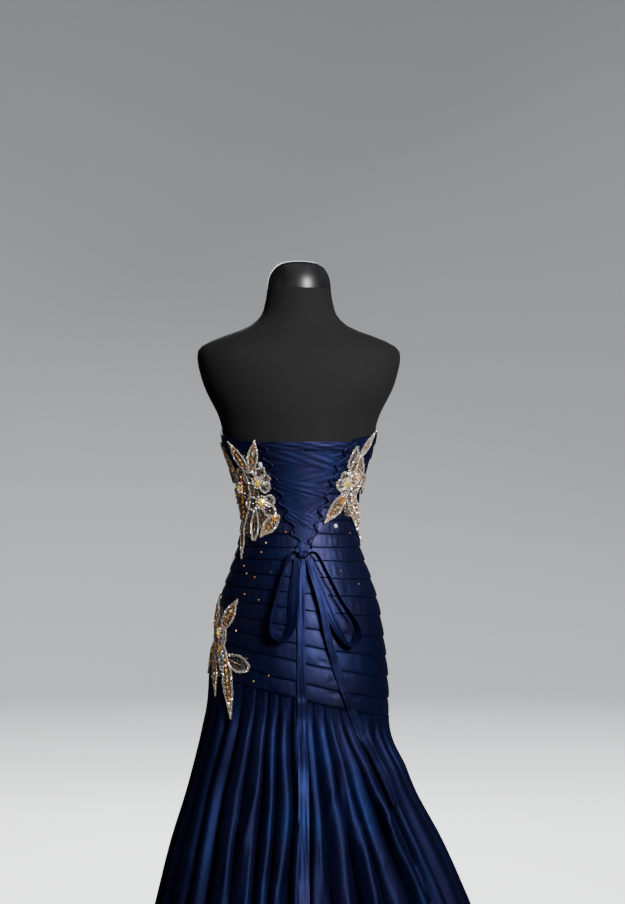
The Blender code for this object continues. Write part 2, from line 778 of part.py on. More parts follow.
def skirt_ring(share):
    """The outer points of a closed row of the skirt. Each fold rises from a valley and sinks to the next."""
    ring = []
    following = VALLEYS[1:] + [VALLEYS[0]]
    for valley, after in zip(VALLEYS, following):
        start, end = valley_angle(valley, share), valley_angle(after, share)
        end += 360 if end < start else 0
        for station in range(FOLD_STATIONS):
            across = station / FOLD_STATIONS
            near = valley.hang + (valley.gather - valley.hang) * share
            far = after.hang + (after.gather - after.hang) * share
            sunk = (near + (far - near) * across) * (1 - math.sin(math.pi * across) ** FOLD_ROUNDNESS)
            ring.append(skirt_point(start + (end - start) * across, share, sunk))
    return ring


def skirt_point(angle, share, sunk):
    """A point of the skirt, sunk below the crests by a share of the fold depth."""
    seam = seam_height(angle) - SEAM_GAP
    height = HEM + (seam - HEM) * share
    depth = curve_value("flare", height, "fold_depth") * smooth_step((seam - height) / GATHER_BLEND / 2)
    depth += GATHER_RISE * (1 - smooth_step((seam - height) / GATHER_BLEND))
    crest = crest_point(angle, height)
    if height > TORSO_BOTTOM - GATHER_BLEND:
        figure = body_point(angle, max(height, TORSO_BOTTOM), BODICE_OUTSIDE)
        depth = min(depth, (crest - figure).to_2d().length)
    inward = -outward(lambda turn, level: crest_point(turn, level).to_tuple()[:2], angle, height)
    return crest + inward * depth * sunk


def shifted_inward(ring):
    """A closed row moved in by the skirt's wall, square to its folds."""
    moved = []
    for index, point in enumerate(ring):
        before, after = ring[index - 1], ring[(index + 1) % len(ring)]
        first = (point - before).normalized()
        second = (after - point).normalized()
        along = (first + second).normalized()
        stretch = 1 / max(along.dot(first), MITRE_LIMIT)
        moved.append(point + Vector((along.y, -along.x, 0)) * SKIRT_WALL * stretch)
    return moved


def make_skirt():
    """The skirt's panels, each parted from the next in a valley."""
    outside, inside = [], []
    for share in SKIRT_ROW_SHARES:
        ring = skirt_ring(share)
        outside.append(ring)
        inside.append(shifted_inward(ring))
    at_seam = [valley.at_seam for valley in VALLEYS]
    seams = [at_seam.index(angle) * FOLD_STATIONS for angle in SKIRT_PANELS.values()]
    for name, first, final in zip(SKIRT_PANELS, seams, seams[1:] + [len(outside[0])]):
        grids = []
        for grid in (outside, inside):
            grids.append([panel_row(row, outer, first, final) for row, outer in zip(grid, outside)])
        wall(name, *grids, "royal taffeta")


def panel_row(ring, outer_ring, first, final):
    """The stretch of a closed row between two seams, drawn back by half a seam gap at each end."""
    row = [ring[index % len(ring)].copy() for index in range(first, final + 1)]
    for end, seam, sign in ((0, first, 1), (-1, final, -1)):
        before = outer_ring[(seam - 1) % len(ring)]
        after = outer_ring[(seam + 1) % len(ring)]
        row[end] += (after - before).normalized() * sign * SEAM_GAP / 2
    return row


# The laced back


def patch(name, angles_by_row, heights_by_row, bottom, thickness, finish_name):
    """A thin wall over rows of angles and heights, from a distance off the figure."""
    grids = []
    for offset in (bottom + thickness, bottom):
        grid = []
        for angles, heights in zip(angles_by_row, heights_by_row):
            grid.append([body_point(angle, height, offset) for angle, height in zip(angles, heights)])
        grids.append(grid)
    return wall(name, *grids, finish_name)


def level_edge(height, side):
    """The angle a little inside the V's edge at a height."""
    reach = max(opening_edge(height, side) - LACING_EDGE_GAP, LEAST_REACH)
    return angle_across(side * reach, height)


def make_panel():
    """The plain panel behind the lacing."""
    heights = spread(PANEL_BOTTOM, PANEL_TOP, PANEL_ROWS)
    rows = [spread(level_edge(height, -1), level_edge(height, 1), LACING_COLUMNS) for height in heights]
    levels = [[height] * LACING_COLUMNS for height in heights]
    patch("modesty_panel", rows, levels, FORM_CLEARANCE, PANEL_WALL, "royal taffeta")


def lacing_band(name, left_level, right_level, width, bottom):
    """A stretch of ribbon from one edge of the V to the other, between a level at each edge."""
    angles, heights = [], []
    for drop in (-width / 2, 0.0, width / 2):
        ends = (right_level + drop, left_level + drop)
        angles.append(spread(level_edge(ends[0], -1), level_edge(ends[1], 1), LACING_COLUMNS))
        heights.append(spread(*ends, LACING_COLUMNS))
    patch(name, angles, heights, bottom, RIBBON_WALL, "ribbon satin")


def make_lacing():
    """The crossing ribbons, the band across the top and the two ends that run to the knot."""
    levels = [LOWEST_LOOP + LOOP_PITCH * index for index in range(LOOP_LEVELS)]
    for index, (low, high) in enumerate(zip(levels, levels[1:])):
        number = LOOP_LEVELS - 1 - index
        lacing_band(f"lacing_left_{number}", high, low, LACING_WIDTH, LOWER_LACING)
        lacing_band(f"lacing_right_{number}", low, high, LACING_WIDTH, UPPER_LACING)
    lacing_band("lacing_top", *LACING_TOP_LEVELS, LACING_TOP_WIDTH, TOP_LACING)
    lacing_band("lacing_end_left", *LACING_END_LEVELS, LACING_END_WIDTH, LOWER_LACING)
    lacing_band("lacing_end_right", *LACING_END_LEVELS[::-1], LACING_END_WIDTH, UPPER_LACING)


def tube(name, path, radius, sides, finish_name):
    """A round bar along a path, with flat ends."""
    rings = []
    for index, point in enumerate(path):
        ahead = path[min(index + 1, len(path) - 1)] - path[max(index - 1, 0)]
        side = ahead.cross(Vector((0, 1, 0))).normalized()
        out = side.cross(ahead).normalized()
        turns = [math.tau * step / sides for step in range(sides)]
        rings.append([point + radius * (side * math.cos(turn) + out * math.sin(turn)) for turn in turns])
    return loft(name, rings, finish_name)


def make_loops():
    """The cord along each edge of the V, which bulges out over the ribbon in one loop at each level."""
    count = LOOP_LEVELS * ROULEAU_POINTS_PER_LOOP
    for name, side in (("lace_loops_left", 1), ("lace_loops_right", -1)):
        path = []
        for step in range(count):
            share = step / (count - 1)
            height = LOWEST_LOOP - LOOP_PITCH / 2 + LOOP_PITCH * LOOP_LEVELS * share
            bulge = math.sin(math.pi * LOOP_LEVELS * share) ** 2
            across = opening_edge(height, side) + ROULEAU_INSET - ROULEAU_REACH * bulge
            angle = angle_across(side * max(across, ROULEAU_LEAST_ACROSS), height)
            path.append(body_point(angle, height, ROULEAU_LIFT))
        tube(name, path, ROULEAU_RADIUS, ROULEAU_SIDES, "ribbon satin")


# The bow


def resting_point(across, height, lift):
    """A point off the outside of the dress's back, a given distance across."""
    return dress_point(angle_reaching(across, lambda angle: dress_point(angle, height, lift).x), height, lift)


def between(rows, step):
    """The values at a step along the rows, on a cubic curve through them."""
    start = min(int(step), len(rows) - 2)
    share = step - start
    values = []
    for column in range(len(rows[0])):
        points = [rows[min(max(index, 0), len(rows) - 1)][column] for index in range(start - 1, start + 3)]
        a, b, c, d = points
        curve = b + share * (c - a + share * (2 * a - 5 * b + 4 * c - d + share * (3 * (b - c) + d - a))) / 2
        values.append(curve)
    return values


def ribbon(name, rows):
    """A flat ribbon along the rows of a bow table."""
    steps = spread(0, len(rows) - 1, (len(rows) - 1) * BOW_STEPS_PER_POINT + 1)
    sizes = [between(rows, step) for step in steps]
    middles = [resting_point(across * MM, height * MM, lift * MM) for across, height, lift, _, _ in sizes]
    rings = []
    for index, (_, _, _, width, turn) in enumerate(sizes):
        ahead = middles[min(index + 1, len(middles) - 1)] - middles[max(index - 1, 0)]
        ahead.normalize()
        out = Vector((middles[index].x, middles[index].y * BACK_FLATNESS, 0)).normalized()
        out = (out - ahead * out.dot(ahead)).normalized()
        flat = ahead.cross(out)
        lean = math.radians(turn)
        side = (flat * math.cos(lean) + out * math.sin(lean)) * width * MM / 2
        face = side.cross(ahead).normalized() * BOW_WALL / 2
        centre = middles[index] + out * abs(math.sin(lean)) * width * MM / 2
        line = [centre + side, centre, centre - side]
        rings.append([point + face for point in line] + [point - face for point in reversed(line)])
    return loft(name, rings, "ribbon satin")


def make_knot():
    """The knot: a plump pad with a waist across it."""
    centre = resting_point(KNOT_ACROSS, KNOT_HEIGHT, KNOT_LIFT)
    rings = []
    for share, fullness in zip(spread(-0.5, 0.5, len(KNOT_FULLNESS)), KNOT_FULLNESS):
        ring = []
        for step in range(KNOT_SIDES):
            turn = math.tau * step / KNOT_SIDES
            y = KNOT_DEPTH / 2 * math.cos(turn) * fullness
            z = KNOT_TALLNESS / 2 * math.sin(turn) * fullness
            ring.append(centre + Vector((KNOT_LENGTH * share, y, z)))
        rings.append(ring)
    return loft("bow_knot", rings, "ribbon satin")


def make_bow():
    """The knot, the two loops and the two tails."""
    make_knot()
    ribbon("bow_loop_left", BOW_LOOP_LEFT)
    ribbon("bow_loop_right", BOW_LOOP_RIGHT)
    ribbon("bow_tail_left", BOW_TAIL_LEFT)
    ribbon("bow_tail_right", BOW_TAIL_RIGHT)


# The beaded appliques


def motif_outline(motif):
    """A motif's outline, as (along, across) points from its start, in shares of its length and half width."""
    if motif.form not in ("petal", "leaf"):
        sides = NET_SIDES if motif.form == "net" else STONE_SIDES
        turns = [math.tau * step / sides for step in range(sides)]
        return [(0.5 * math.cos(turn), math.sin(turn)) for turn in turns]
    edge = PETAL_EDGE if motif.form == "petal" else LEAF_EDGE
    return [(point.along, point.half_width) for point in edge] + [
        (point.along, -point.half_width) for point in reversed(edge)
    ]


def laid_out(motif, along, across):
    """A point of a motif on the flat, as millimetres right of the centre back and height."""
    turn = math.radians(motif.heading)
    reach, aside = along * motif.length, across * motif.width / 2
    right = -motif.arc + reach * math.sin(turn) + aside * math.cos(turn)
    return Vector((right, motif.height + reach * math.cos(turn) - aside * math.sin(turn)))


def stone_rise(flat, motifs):
    """How far the large stones stand up at a point on the flat."""
    rise = 0.0
    for motif in motifs:
        if motif.form not in STONE_RISE:
            continue
        turn = math.radians(motif.heading)
        away = flat - Vector((-motif.arc, motif.height))
        along = (away.x * math.sin(turn) + away.y * math.cos(turn)) / (motif.length / 2)
        across = (away.x * math.cos(turn) - away.y * math.sin(turn)) / (motif.width / 2)
        rise = max(rise, STONE_RISE[motif.form] * max(1 - along**2 - across**2, 0) ** 0.5)
    return rise * MM


@functools.lru_cache(maxsize=None)
def arc_table(level):
    """The arc from the centre back at even steps of angle, on the dress at a level in millimetres."""
    lengths = [0.0]
    for step in range(ARC_STEPS):
        start, end = (dress_point(ARC_STEP * turn, level * MM, 0) for turn in (step, step + 1))
        lengths.append(lengths[-1] + (end - start).length / MM)
    return lengths


def angle_of_arc(arc, height):
    """The angle at a length of arc from the centre back."""
    lengths = arc_table(ARC_LEVEL_STEP * round(height / ARC_LEVEL_STEP))
    step = min(bisect.bisect_right(lengths, abs(arc)), len(lengths) - 1)
    share = (abs(arc) - lengths[step - 1]) / (lengths[step] - lengths[step - 1])
    return math.copysign(ARC_STEP * (step - 1 + share), arc)


def applique(name, motifs):
    """One plate over all of a piece's motifs, with its large stones raised, closed over a plain back."""
    flats, loops = [], []
    for motif in motifs:
        outline = [laid_out(motif, along, across) for along, across in motif_outline(motif)]
        loops.append(list(range(len(flats), len(flats) + len(outline))))
        flats += outline
        if motif.form in STONE_RISE:
            flats.append(laid_out(motif, 0, 0))
    left, right = min(p.x for p in flats), max(p.x for p in flats)
    low, high = min(p.y for p in flats), max(p.y for p in flats)
    for row in range(int((high - low) / APPLIQUE_GRID) + 1):
        stagger = APPLIQUE_GRID / 2 * (row % 2)
        for column in range(int((right - left) / APPLIQUE_GRID) + 1):
            flats.append(Vector((left + stagger + column * APPLIQUE_GRID, low + row * APPLIQUE_GRID)))
    points, _, faces, *_ = delaunay_2d_cdt(flats, [], loops, 1, OUTLINE_MERGE)
    used = sorted({index for face in faces for index in face})
    builder = bmesh.new()
    tops, backs = {}, {}
    for index in used:
        flat = points[index]
        angle = angle_of_arc(-flat.x, flat.y)
        rise = APPLIQUE_LIFT + APPLIQUE_WALL + stone_rise(flat, motifs)
        tops[index] = builder.verts.new(dress_point(angle, flat.y * MM, rise))
        backs[index] = builder.verts.new(dress_point(angle, flat.y * MM, APPLIQUE_LIFT))
    edges = {}
    for face in faces:
        builder.faces.new([tops[index] for index in face])
        builder.faces.new([backs[index] for index in reversed(face)])
        edges.update(dict.fromkeys(zip(face, face[1:] + face[:1])))
    for start, end in edges:
        if (end, start) not in edges:
            builder.faces.new((tops[end], tops[start], backs[start], backs[end]))
    return finish_object(name, builder, "beaded applique")


def make_appliques():
    """The three beaded pieces."""
    applique("applique_back_left", APPLIQUE_BACK_LEFT)
    applique("applique_back_right", APPLIQUE_BACK_RIGHT)
    applique("applique_hip", APPLIQUE_HIP)


def clear_scene():
    """Removes whatever the scene starts with."""
    for item in list(bpy.data.objects):
        bpy.data.objects.remove(item, do_unlink=True)


def main():
    """Builds the dress form, then the dress from the inside out."""
    clear_scene()
    make_form()
    make_bodice()
    make_skirt()
    make_panel()
    make_lacing()
    make_loops()
    make_bow()
    make_appliques()


main()
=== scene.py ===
"""Looks of a strapless, laced prom dress with a trumpet skirt, on a limbless dress form.

Metres, +Z up. The laced back of the dress faces +Y and the wearer's left side is +X. An angle goes round the
figure in degrees, from 0 at the centre back to 90 at the wearer's left side and 180 at the centre front. A
negative angle is on the right half of the back. The camera stands behind the dress.
"""

from __future__ import annotations

import logging
import math
from dataclasses import dataclass, field
from enum import Enum
from typing import Callable, NamedTuple, Sequence

import bmesh
import bpy
import numpy as np
from mathutils import Matrix, Vector
from mathutils.geometry import delaunay_2d_cdt

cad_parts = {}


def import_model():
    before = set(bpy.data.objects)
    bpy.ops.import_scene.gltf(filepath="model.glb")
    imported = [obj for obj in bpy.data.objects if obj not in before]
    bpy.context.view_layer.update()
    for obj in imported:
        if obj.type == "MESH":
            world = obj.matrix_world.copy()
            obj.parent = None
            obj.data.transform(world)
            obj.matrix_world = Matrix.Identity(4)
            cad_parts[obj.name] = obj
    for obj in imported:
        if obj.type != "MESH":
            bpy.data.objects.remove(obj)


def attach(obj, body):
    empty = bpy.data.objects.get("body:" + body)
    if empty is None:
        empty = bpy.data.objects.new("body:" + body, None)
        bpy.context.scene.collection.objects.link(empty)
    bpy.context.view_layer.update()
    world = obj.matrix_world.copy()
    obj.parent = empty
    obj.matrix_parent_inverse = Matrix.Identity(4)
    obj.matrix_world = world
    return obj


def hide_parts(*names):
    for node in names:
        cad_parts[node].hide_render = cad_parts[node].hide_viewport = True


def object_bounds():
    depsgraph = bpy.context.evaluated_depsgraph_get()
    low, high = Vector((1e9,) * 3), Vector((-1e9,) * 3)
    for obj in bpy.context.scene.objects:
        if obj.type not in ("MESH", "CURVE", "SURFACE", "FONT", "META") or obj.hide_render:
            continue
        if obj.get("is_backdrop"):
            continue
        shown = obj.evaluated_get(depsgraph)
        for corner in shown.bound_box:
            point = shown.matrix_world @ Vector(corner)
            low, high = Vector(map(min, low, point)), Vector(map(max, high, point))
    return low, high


LOG = logging.getLogger("prom_dress")
Array = np.ndarray
Colour = tuple[float, float, float]
Table = Sequence[Sequence[float]]
Piece, Mesh = bpy.types.Object, bpy.types.Mesh
Material, Socket = bpy.types.Material, bpy.types.NodeSocket
MM = 0.001
CLOTH_CORNER = 62.0
SOLID_CORNER = 40.0


class Side(Enum):
    """A side of the wearer, as the sign of its x."""

    LEFT = 1
    RIGHT = -1

    @property
    def word(self) -> str:
        """The side's name as it stands in a node's name."""
        return self.name.lower()


# Curves and small numeric helpers


class Curve:
    """A smooth cubic curve through rising keys and their values."""

    def __init__(self, keys: Sequence[float], values: Sequence[float]) -> None:
        """Keeps the rows and works out their slopes.

        Args:
            keys: Rising places along the curve.
            values: The value at each key.
        """
        self.keys = np.asarray(keys, float)
        self.values = np.asarray(values, float)
        rows = np.arange(len(self.keys))
        below, above = np.maximum(rows - 1, 0), np.minimum(rows + 1, len(rows) - 1)
        self.slopes = (self.values[above] - self.values[below]) / (self.keys[above] - self.keys[below])

    def at(self, key: float | Array) -> Array:
        """Values at places along the curve.

        Args:
            key: One place or an array of them.

        Returns:
            The values, in the shape of key.
        """
        key = np.clip(key, self.keys[0], self.keys[-1])
        start = np.clip(np.searchsorted(self.keys, key, side="right") - 1, 0, len(self.keys) - 2)
        step = self.keys[start + 1] - self.keys[start]
        share = (key - self.keys[start]) / step
        square, cube = share**2, share**3
        return (
            (2 * cube - 3 * square + 1) * self.values[start]
            + (cube - 2 * square + share) * step * self.slopes[start]
            + (3 * square - 2 * cube) * self.values[start + 1]
            + (cube - square) * step * self.slopes[start + 1]
        )


def curves_of(names: str, rows: Table) -> dict[str, Curve]:
    """One curve for each later column of a table, by these names, over its rising first column."""
    keys, *columns = zip(*rows)
    return {name: Curve(keys, column) for name, column in zip(names.split(), columns)}


def smooth_step(share: float | Array) -> Array:
    """0 below 0, 1 above 1, and an easy curve between."""
    share = np.clip(share, 0.0, 1.0)
    return share * share * (3 - 2 * share)


def unit(vectors: Array) -> Array:
    """The vectors at length 1."""
    return vectors / np.maximum(np.linalg.norm(vectors, axis=-1, keepdims=True), 1e-12)


def ripple(across: Array, along: Array, pitch: float, seed: int) -> Array:
    """An uneven wave between about -1 and 1, the same each run.

    Args:
        across: Places along the wave's main direction, in metres.
        along: Places square to it.
        pitch: The usual distance between crests.
        seed: Picks one wave out of many.

    Returns:
        The wave's height at each place.
    """
    rng = np.random.default_rng(seed)
    total = np.zeros(np.broadcast(across, along).shape)
    for strength in (0.5, 0.3, 0.2):
        stretch, lean = rng.uniform(0.7, 1.6), rng.uniform(-0.5, 0.5)
        start = rng.uniform(0, math.tau)
        total += strength * np.sin(math.tau * (across + lean * along) * stretch / pitch + start)
    return total


def arc_lengths(points: Array) -> Array:
    """Distances along each row of a grid of points, from its first column."""
    steps = np.linalg.norm(np.diff(points, axis=1), axis=-1)
    return np.concatenate([np.zeros((len(points), 1)), np.cumsum(steps, axis=1)], axis=1)


def grid_normals(points: Array, closed: bool = False) -> Array:
    """Unit normals of a grid of points, out of the side on which its rows run left to right and upward.

    Args:
        points: A grid, rows by columns by 3.
        closed: True where the last column joins the first.

    Returns:
        One normal for each point.
    """
    if closed:
        across = np.roll(points, -1, axis=1) - np.roll(points, 1, axis=1)
    else:
        across = np.gradient(points, axis=1)
    return unit(np.cross(across, np.gradient(points, axis=0)))


# The figure under the dress


# Level sections: height, half width, back depth, front depth and squareness
FIGURE = (
    (0.72, 0.16, 0.108, 0.096, 2), (0.785, 0.161, 0.116, 0.102, 2), (0.85, 0.1565, 0.117, 0.104, 2),
    (0.914, 0.148, 0.112, 0.103, 2), (0.951, 0.141, 0.106, 0.101, 2), (0.988, 0.13, 0.099, 0.097, 2),
    (1.02, 0.1185, 0.093, 0.094, 2), (1.05, 0.109, 0.089, 0.091, 2), (1.085, 0.1035, 0.086, 0.09, 2),
    (1.115, 0.104, 0.086, 0.091, 2), (1.15, 0.1085, 0.089, 0.094, 2), (1.19, 0.1195, 0.093, 0.1, 2),
    (1.216, 0.129, 0.096, 0.105, 2), (1.242, 0.1365, 0.099, 0.107, 2), (1.29, 0.1485, 0.103, 0.104, 2.1),
    (1.34, 0.173, 0.104, 0.092, 2.3), (1.371, 0.183, 0.101, 0.081, 2.4), (1.4, 0.188, 0.094, 0.071, 2.4),
    (1.418, 0.182, 0.088, 0.063, 2.3), (1.434, 0.152, 0.079, 0.056, 2.2), (1.4545, 0.097, 0.068, 0.05, 2.1),
    (1.475, 0.072, 0.061, 0.048, 2), (1.5, 0.063, 0.057, 0.05, 2), (1.525, 0.059, 0.055, 0.053, 2),
)


@dataclass
class Figure:
    """The bare figure, with the two cups of its bust."""

    bottom: float = 0.720
    neck_top: float = 1.525
    bust_height: float = 1.232
    bust_half_spacing: float = 0.073
    bust_rise: float = 0.023
    bust_spread: float = 0.045
    cup_ease: float = 0.10
    curves: dict[str, Curve] = field(
        default_factory=lambda: curves_of("half_width back_depth front_depth squareness", FIGURE)
    )

    def cups(self, x: Array, height: Array, forward: Array) -> Array:
        """How far the cups stand out.

        Args:
            x: Distance across.
            height: Height of the place.
            forward: 1 at the centre front, 0 at the sides.

        Returns:
            The rise of the cups, in metres.
        """
        upright = np.exp(-(((height - self.bust_height) / self.bust_spread) ** 2) / 2)
        left = np.exp(-(((x - self.bust_half_spacing) / self.bust_spread) ** 2) / 2)
        right = np.exp(-(((x + self.bust_half_spacing) / self.bust_spread) ** 2) / 2)
        return self.bust_rise * forward * upright * (left + right)

    def outline(self, angle: Array, height: Array) -> Array:
        """Points of the level outline, as x and y."""
        turn = np.radians(angle)
        across, along = np.sin(turn), np.cos(turn)
        power = 2 / self.curves["squareness"].at(height)
        curves = self.curves
        depth = np.where(along > 0, curves["back_depth"].at(height), curves["front_depth"].at(height))
        x = self.curves["half_width"].at(height) * np.sign(across) * np.abs(across) ** power
        y = depth * np.sign(along) * np.abs(along) ** power
        y = y - self.cups(x, height, np.maximum(-along, 0))
        return np.stack(np.broadcast_arrays(x, y), axis=-1)

    def point(self, angle: Array, height: Array, offset: float | Array) -> Array:
        """Points level with places on the figure, at a distance out from it.

        Args:
            angle: Degrees from the centre back.
            height: Height of each place.
            offset: Distance out from the figure.

        Returns:
            The points, with a last axis of 3.
        """
        angle, height, offset = np.broadcast_arrays(angle, height, offset)
        flat = self.outline(angle, height) + outward(self.outline, angle, height) * offset[..., None]
        return np.concatenate([flat, height[..., None]], axis=-1)


def outward(outline: Callable[[Array, Array], Array], angle: Array, height: Array) -> Array:
    """The horizontal directions out of an outline, as x and y."""
    before, after = outline(angle - 0.5, height), outline(angle + 0.5, height)
    across = after - before
    return unit(np.stack([-across[..., 1], across[..., 0]], axis=-1))


# The shape of the dress


# Levels of the skirt through the crests of its folds: height, width at the left and right, depth at the back
# and front, and how deep a fold is
FLARE = (
    (0.015, 0.372, 0.46, 0.42, 0.345, 0.046), (0.2, 0.317, 0.396, 0.33, 0.285, 0.04),
    (0.389, 0.267, 0.318, 0.25, 0.224, 0.034), (0.5035, 0.239, 0.267, 0.205, 0.187, 0.028),
    (0.605, 0.207, 0.213, 0.168, 0.154, 0.022), (0.7015, 0.182, 0.181, 0.14, 0.129, 0.015),
    (0.76, 0.171, 0.171, 0.127, 0.115, 0.01), (0.83, 0.162, 0.162, 0.121, 0.108, 0.004),
)


# The bodice's top edge: angle and height
TOP_EDGE = (
    (0, 1.243), (35, 1.246), (65, 1.253), (90, 1.263), (120, 1.281), (147, 1.3), (165, 1.288), (180, 1.264),
)


# The laced V: height, and how far its left and right edges lie from the centre back
OPENING = (
    (1.04, 0.0045, 0.0045), (1.058, 0.0115, 0.0135), (1.089, 0.022, 0.0245), (1.114, 0.0325, 0.031),
    (1.139, 0.0405, 0.041), (1.168, 0.051, 0.05), (1.193, 0.059, 0.0585), (1.216, 0.067, 0.07),
    (1.243, 0.076, 0.088), (1.256, 0.08, 0.096),
)


@dataclass
class Gown:
    """The surface that every piece of the dress is laid on."""

    figure: Figure = field(default_factory=Figure)
    bodice_outside: float = 3.6 * MM
    pleat_rise: float = 2.5 * MM
    seam_gap: float = 0.3 * MM
    seam_height: float = 0.779
    seam_tilt: float = 0.25
    hip_half_width: float = 0.165
    waist: float = 1.085
    back_top: float = 1.243
    top_tilt: float = 0.035
    v_bottom: float = 1.040
    hang_blend: float = 0.10
    gather_rise: float = 3.0 * MM
    crest_clearance: float = 0.8 * MM
    flare: dict[str, Curve] = field(
        default_factory=lambda: curves_of("left_width right_width back_depth front_depth fold_depth", FLARE)
    )
    top: Curve = field(default_factory=lambda: Curve(*zip(*TOP_EDGE)))
    opening: dict[str, Curve] = field(default_factory=lambda: curves_of("left right", OPENING))

    def seam(self, angle: Array) -> Array:
        """The height of the slanting drop-waist seam."""
        return self.seam_height + self.seam_tilt * self.hip_half_width * np.sin(np.radians(angle))

    def crest(self, angle: Array, height: Array) -> Array:
        """Points of the surface that the crests of the skirt's folds lie in."""
        angle, height = np.broadcast_arrays(angle, height)
        hang = smooth_step((self.seam(angle) - height) / self.hang_blend)[..., None]
        level = np.maximum(height, self.figure.bottom)
        near = self.figure.point(angle, level, self.bodice_outside + self.gather_rise)[..., :2]
        turn = np.radians(angle)
        across, along = np.sin(turn), np.cos(turn)
        wide = np.where(across > 0, self.flare["left_width"].at(height), self.flare["right_width"].at(height))
        deep = np.where(along > 0, self.flare["back_depth"].at(height), self.flare["front_depth"].at(height))
        far = np.stack([wide * across, deep * along], axis=-1)
        return np.concatenate([near * (1 - hang) + far * hang, height[..., None]], axis=-1)

    def off(self, angle: Array, height: Array, lift: float | Array) -> Array:
        """Points a little way off the outside of the whole dress."""
        angle, height, lift = np.broadcast_arrays(angle, height, lift)
        upper = self.figure.point(angle, height, self.bodice_outside + self.pleat_rise + lift)
        lower = self.crest(angle, height)
        radial = unit(lower * np.array([1.0, 1.0, 0.0]))
        lower = lower + radial * (lift + self.crest_clearance)[..., None]
        return np.where((height > self.seam(angle))[..., None], upper, lower)

    def top_height(self, angle: Array) -> Array:
        """The height of the bodice's top edge."""
        around = np.abs((angle + 180) % 360 - 180)
        across = self.figure.outline(angle, np.asarray(self.back_top))[..., 0]
        return self.top.at(around) - self.top_tilt * across * np.cos(np.radians(around / 2))

    def pleat_line(self, angle: Array, centre_height: Array) -> Array:
        """The height of a pleat's edge round the figure, for its height at the centre back."""
        below = smooth_step((self.waist - centre_height) / (self.waist - self.seam_height))
        above = smooth_step((centre_height - self.waist) / (self.back_top - self.waist))
        slant = (self.seam(angle) - self.seam_height) * below
        return centre_height + slant + (self.top_height(angle) - self.back_top) * above

    def edge(self, height: Array, side: Side) -> Array:
        """How far across an edge of the V lies, or of the centre-back seam below it."""
        across = self.opening[side.word].at(height)
        return np.where(height < self.v_bottom, self.seam_gap / 2, across)

    def angle_reaching(self, across: Array, across_at: Callable[[Array], Array]) -> Array:
        """The angles on the back at which a surface is a given distance across.

        Args:
            across: Distances toward the wearer's left.
            across_at: Gives how far across an angle lies.

        Returns:
            The angles in degrees.
        """
        low = np.full(np.shape(across), -89.0)
        high = -low
        for _ in range(26):
            middle = (low + high) / 2
            short = across_at(middle) < across
            low, high = np.where(short, middle, low), np.where(short, high, middle)
        return low

    def angle_across(self, across: Array, height: Array) -> Array:
        """The angles at which the back of the figure is a given distance across."""
        return self.angle_reaching(across, lambda angle: self.figure.outline(angle, height)[..., 0])

    def resting(self, across: Array, height: Array, lift: Array) -> Array:
        """Points off the back of the dress, given distances across."""
        angle = self.angle_reaching(across, lambda turn: self.off(turn, height, lift)[..., 0])
        return self.off(angle, height, lift)


# Creases


def creased(points: Array, normals: Array, arc: Array, creases: Table) -> Array:
    """A grid of points with soft troughs pressed in, or ridges where a depth is negative.

    A crease has an arc from its piece's middle line, a height, a direction in degrees from level and up
    toward the wearer's left, a length, a width and a depth. All but the direction are in millimetres.

    Args:
        points: The grid before.
        normals: Its directions out.
        arc: Each point's arc from the piece's middle line, in metres.
        creases: The troughs and ridges.

    Returns:
        The moved points.
    """
    sunk = np.zeros(arc.shape)
    for place_along, level, degrees, length, width, depth in creases:
        turn = math.radians(degrees)
        away_x, away_z = arc / MM - place_along, points[..., 2] / MM - level
        along = (away_x * math.cos(turn) + away_z * math.sin(turn)) / (length / 2)
        aside = (away_z * math.cos(turn) - away_x * math.sin(turn)) / width
        lip = (1 - 0.7 * aside**2) * np.exp(-(aside**2))
        sunk += depth * MM * lip * smooth_step(1.25 - np.abs(along))
    return points - normals * sunk[..., None]


# Making mesh objects


def mesh_of(name: str, points: Array, faces: Sequence = (), edges: Sequence = ()) -> Mesh:
    """A mesh of points in any grid, with faces and edges as indices."""
    mesh = bpy.data.meshes.new(name)
    mesh.from_pydata(np.asarray(points).reshape(-1, 3).tolist(), edges, faces)
    return mesh


def add_object(name: str, mesh: Mesh) -> Piece:
    """A mesh as an object at the origin of the scene."""
    made = bpy.data.objects.new(name, mesh)
    bpy.context.scene.collection.objects.link(made)
    return made


def faces_of_grid(rows: int, columns: int, first: int, flipped: bool, closed: bool) -> list[list[int]]:
    """The four-sided faces of a grid of points.

    Args:
        rows: Rows of points.
        columns: Points in a row.
        first: The index of the grid's first point.
        flipped: True turns the faces round.
        closed: True joins the last column to the first.

    Returns:
        The faces as indices.
    """
    low = first + columns * np.arange(rows - 1)[:, None]
    column = np.arange(columns if closed else columns - 1)
    after = (column + 1) % columns
    faces = np.stack([low + column, low + after, low + columns + after, low + columns + column], axis=-1)
    return faces.reshape(-1, 4)[:, :: -1 if flipped else 1].tolist()


def store(mesh: Mesh, name: str, kind: str, values: Sequence) -> None:
    """Stores one value for each vertex as a named attribute of the mesh."""
    field_name = "vector" if kind == "FLOAT_VECTOR" else "value"
    layer = mesh.attributes.new(name, kind, "POINT")
    layer.data.foreach_set(field_name, np.asarray(values, np.float32).ravel())


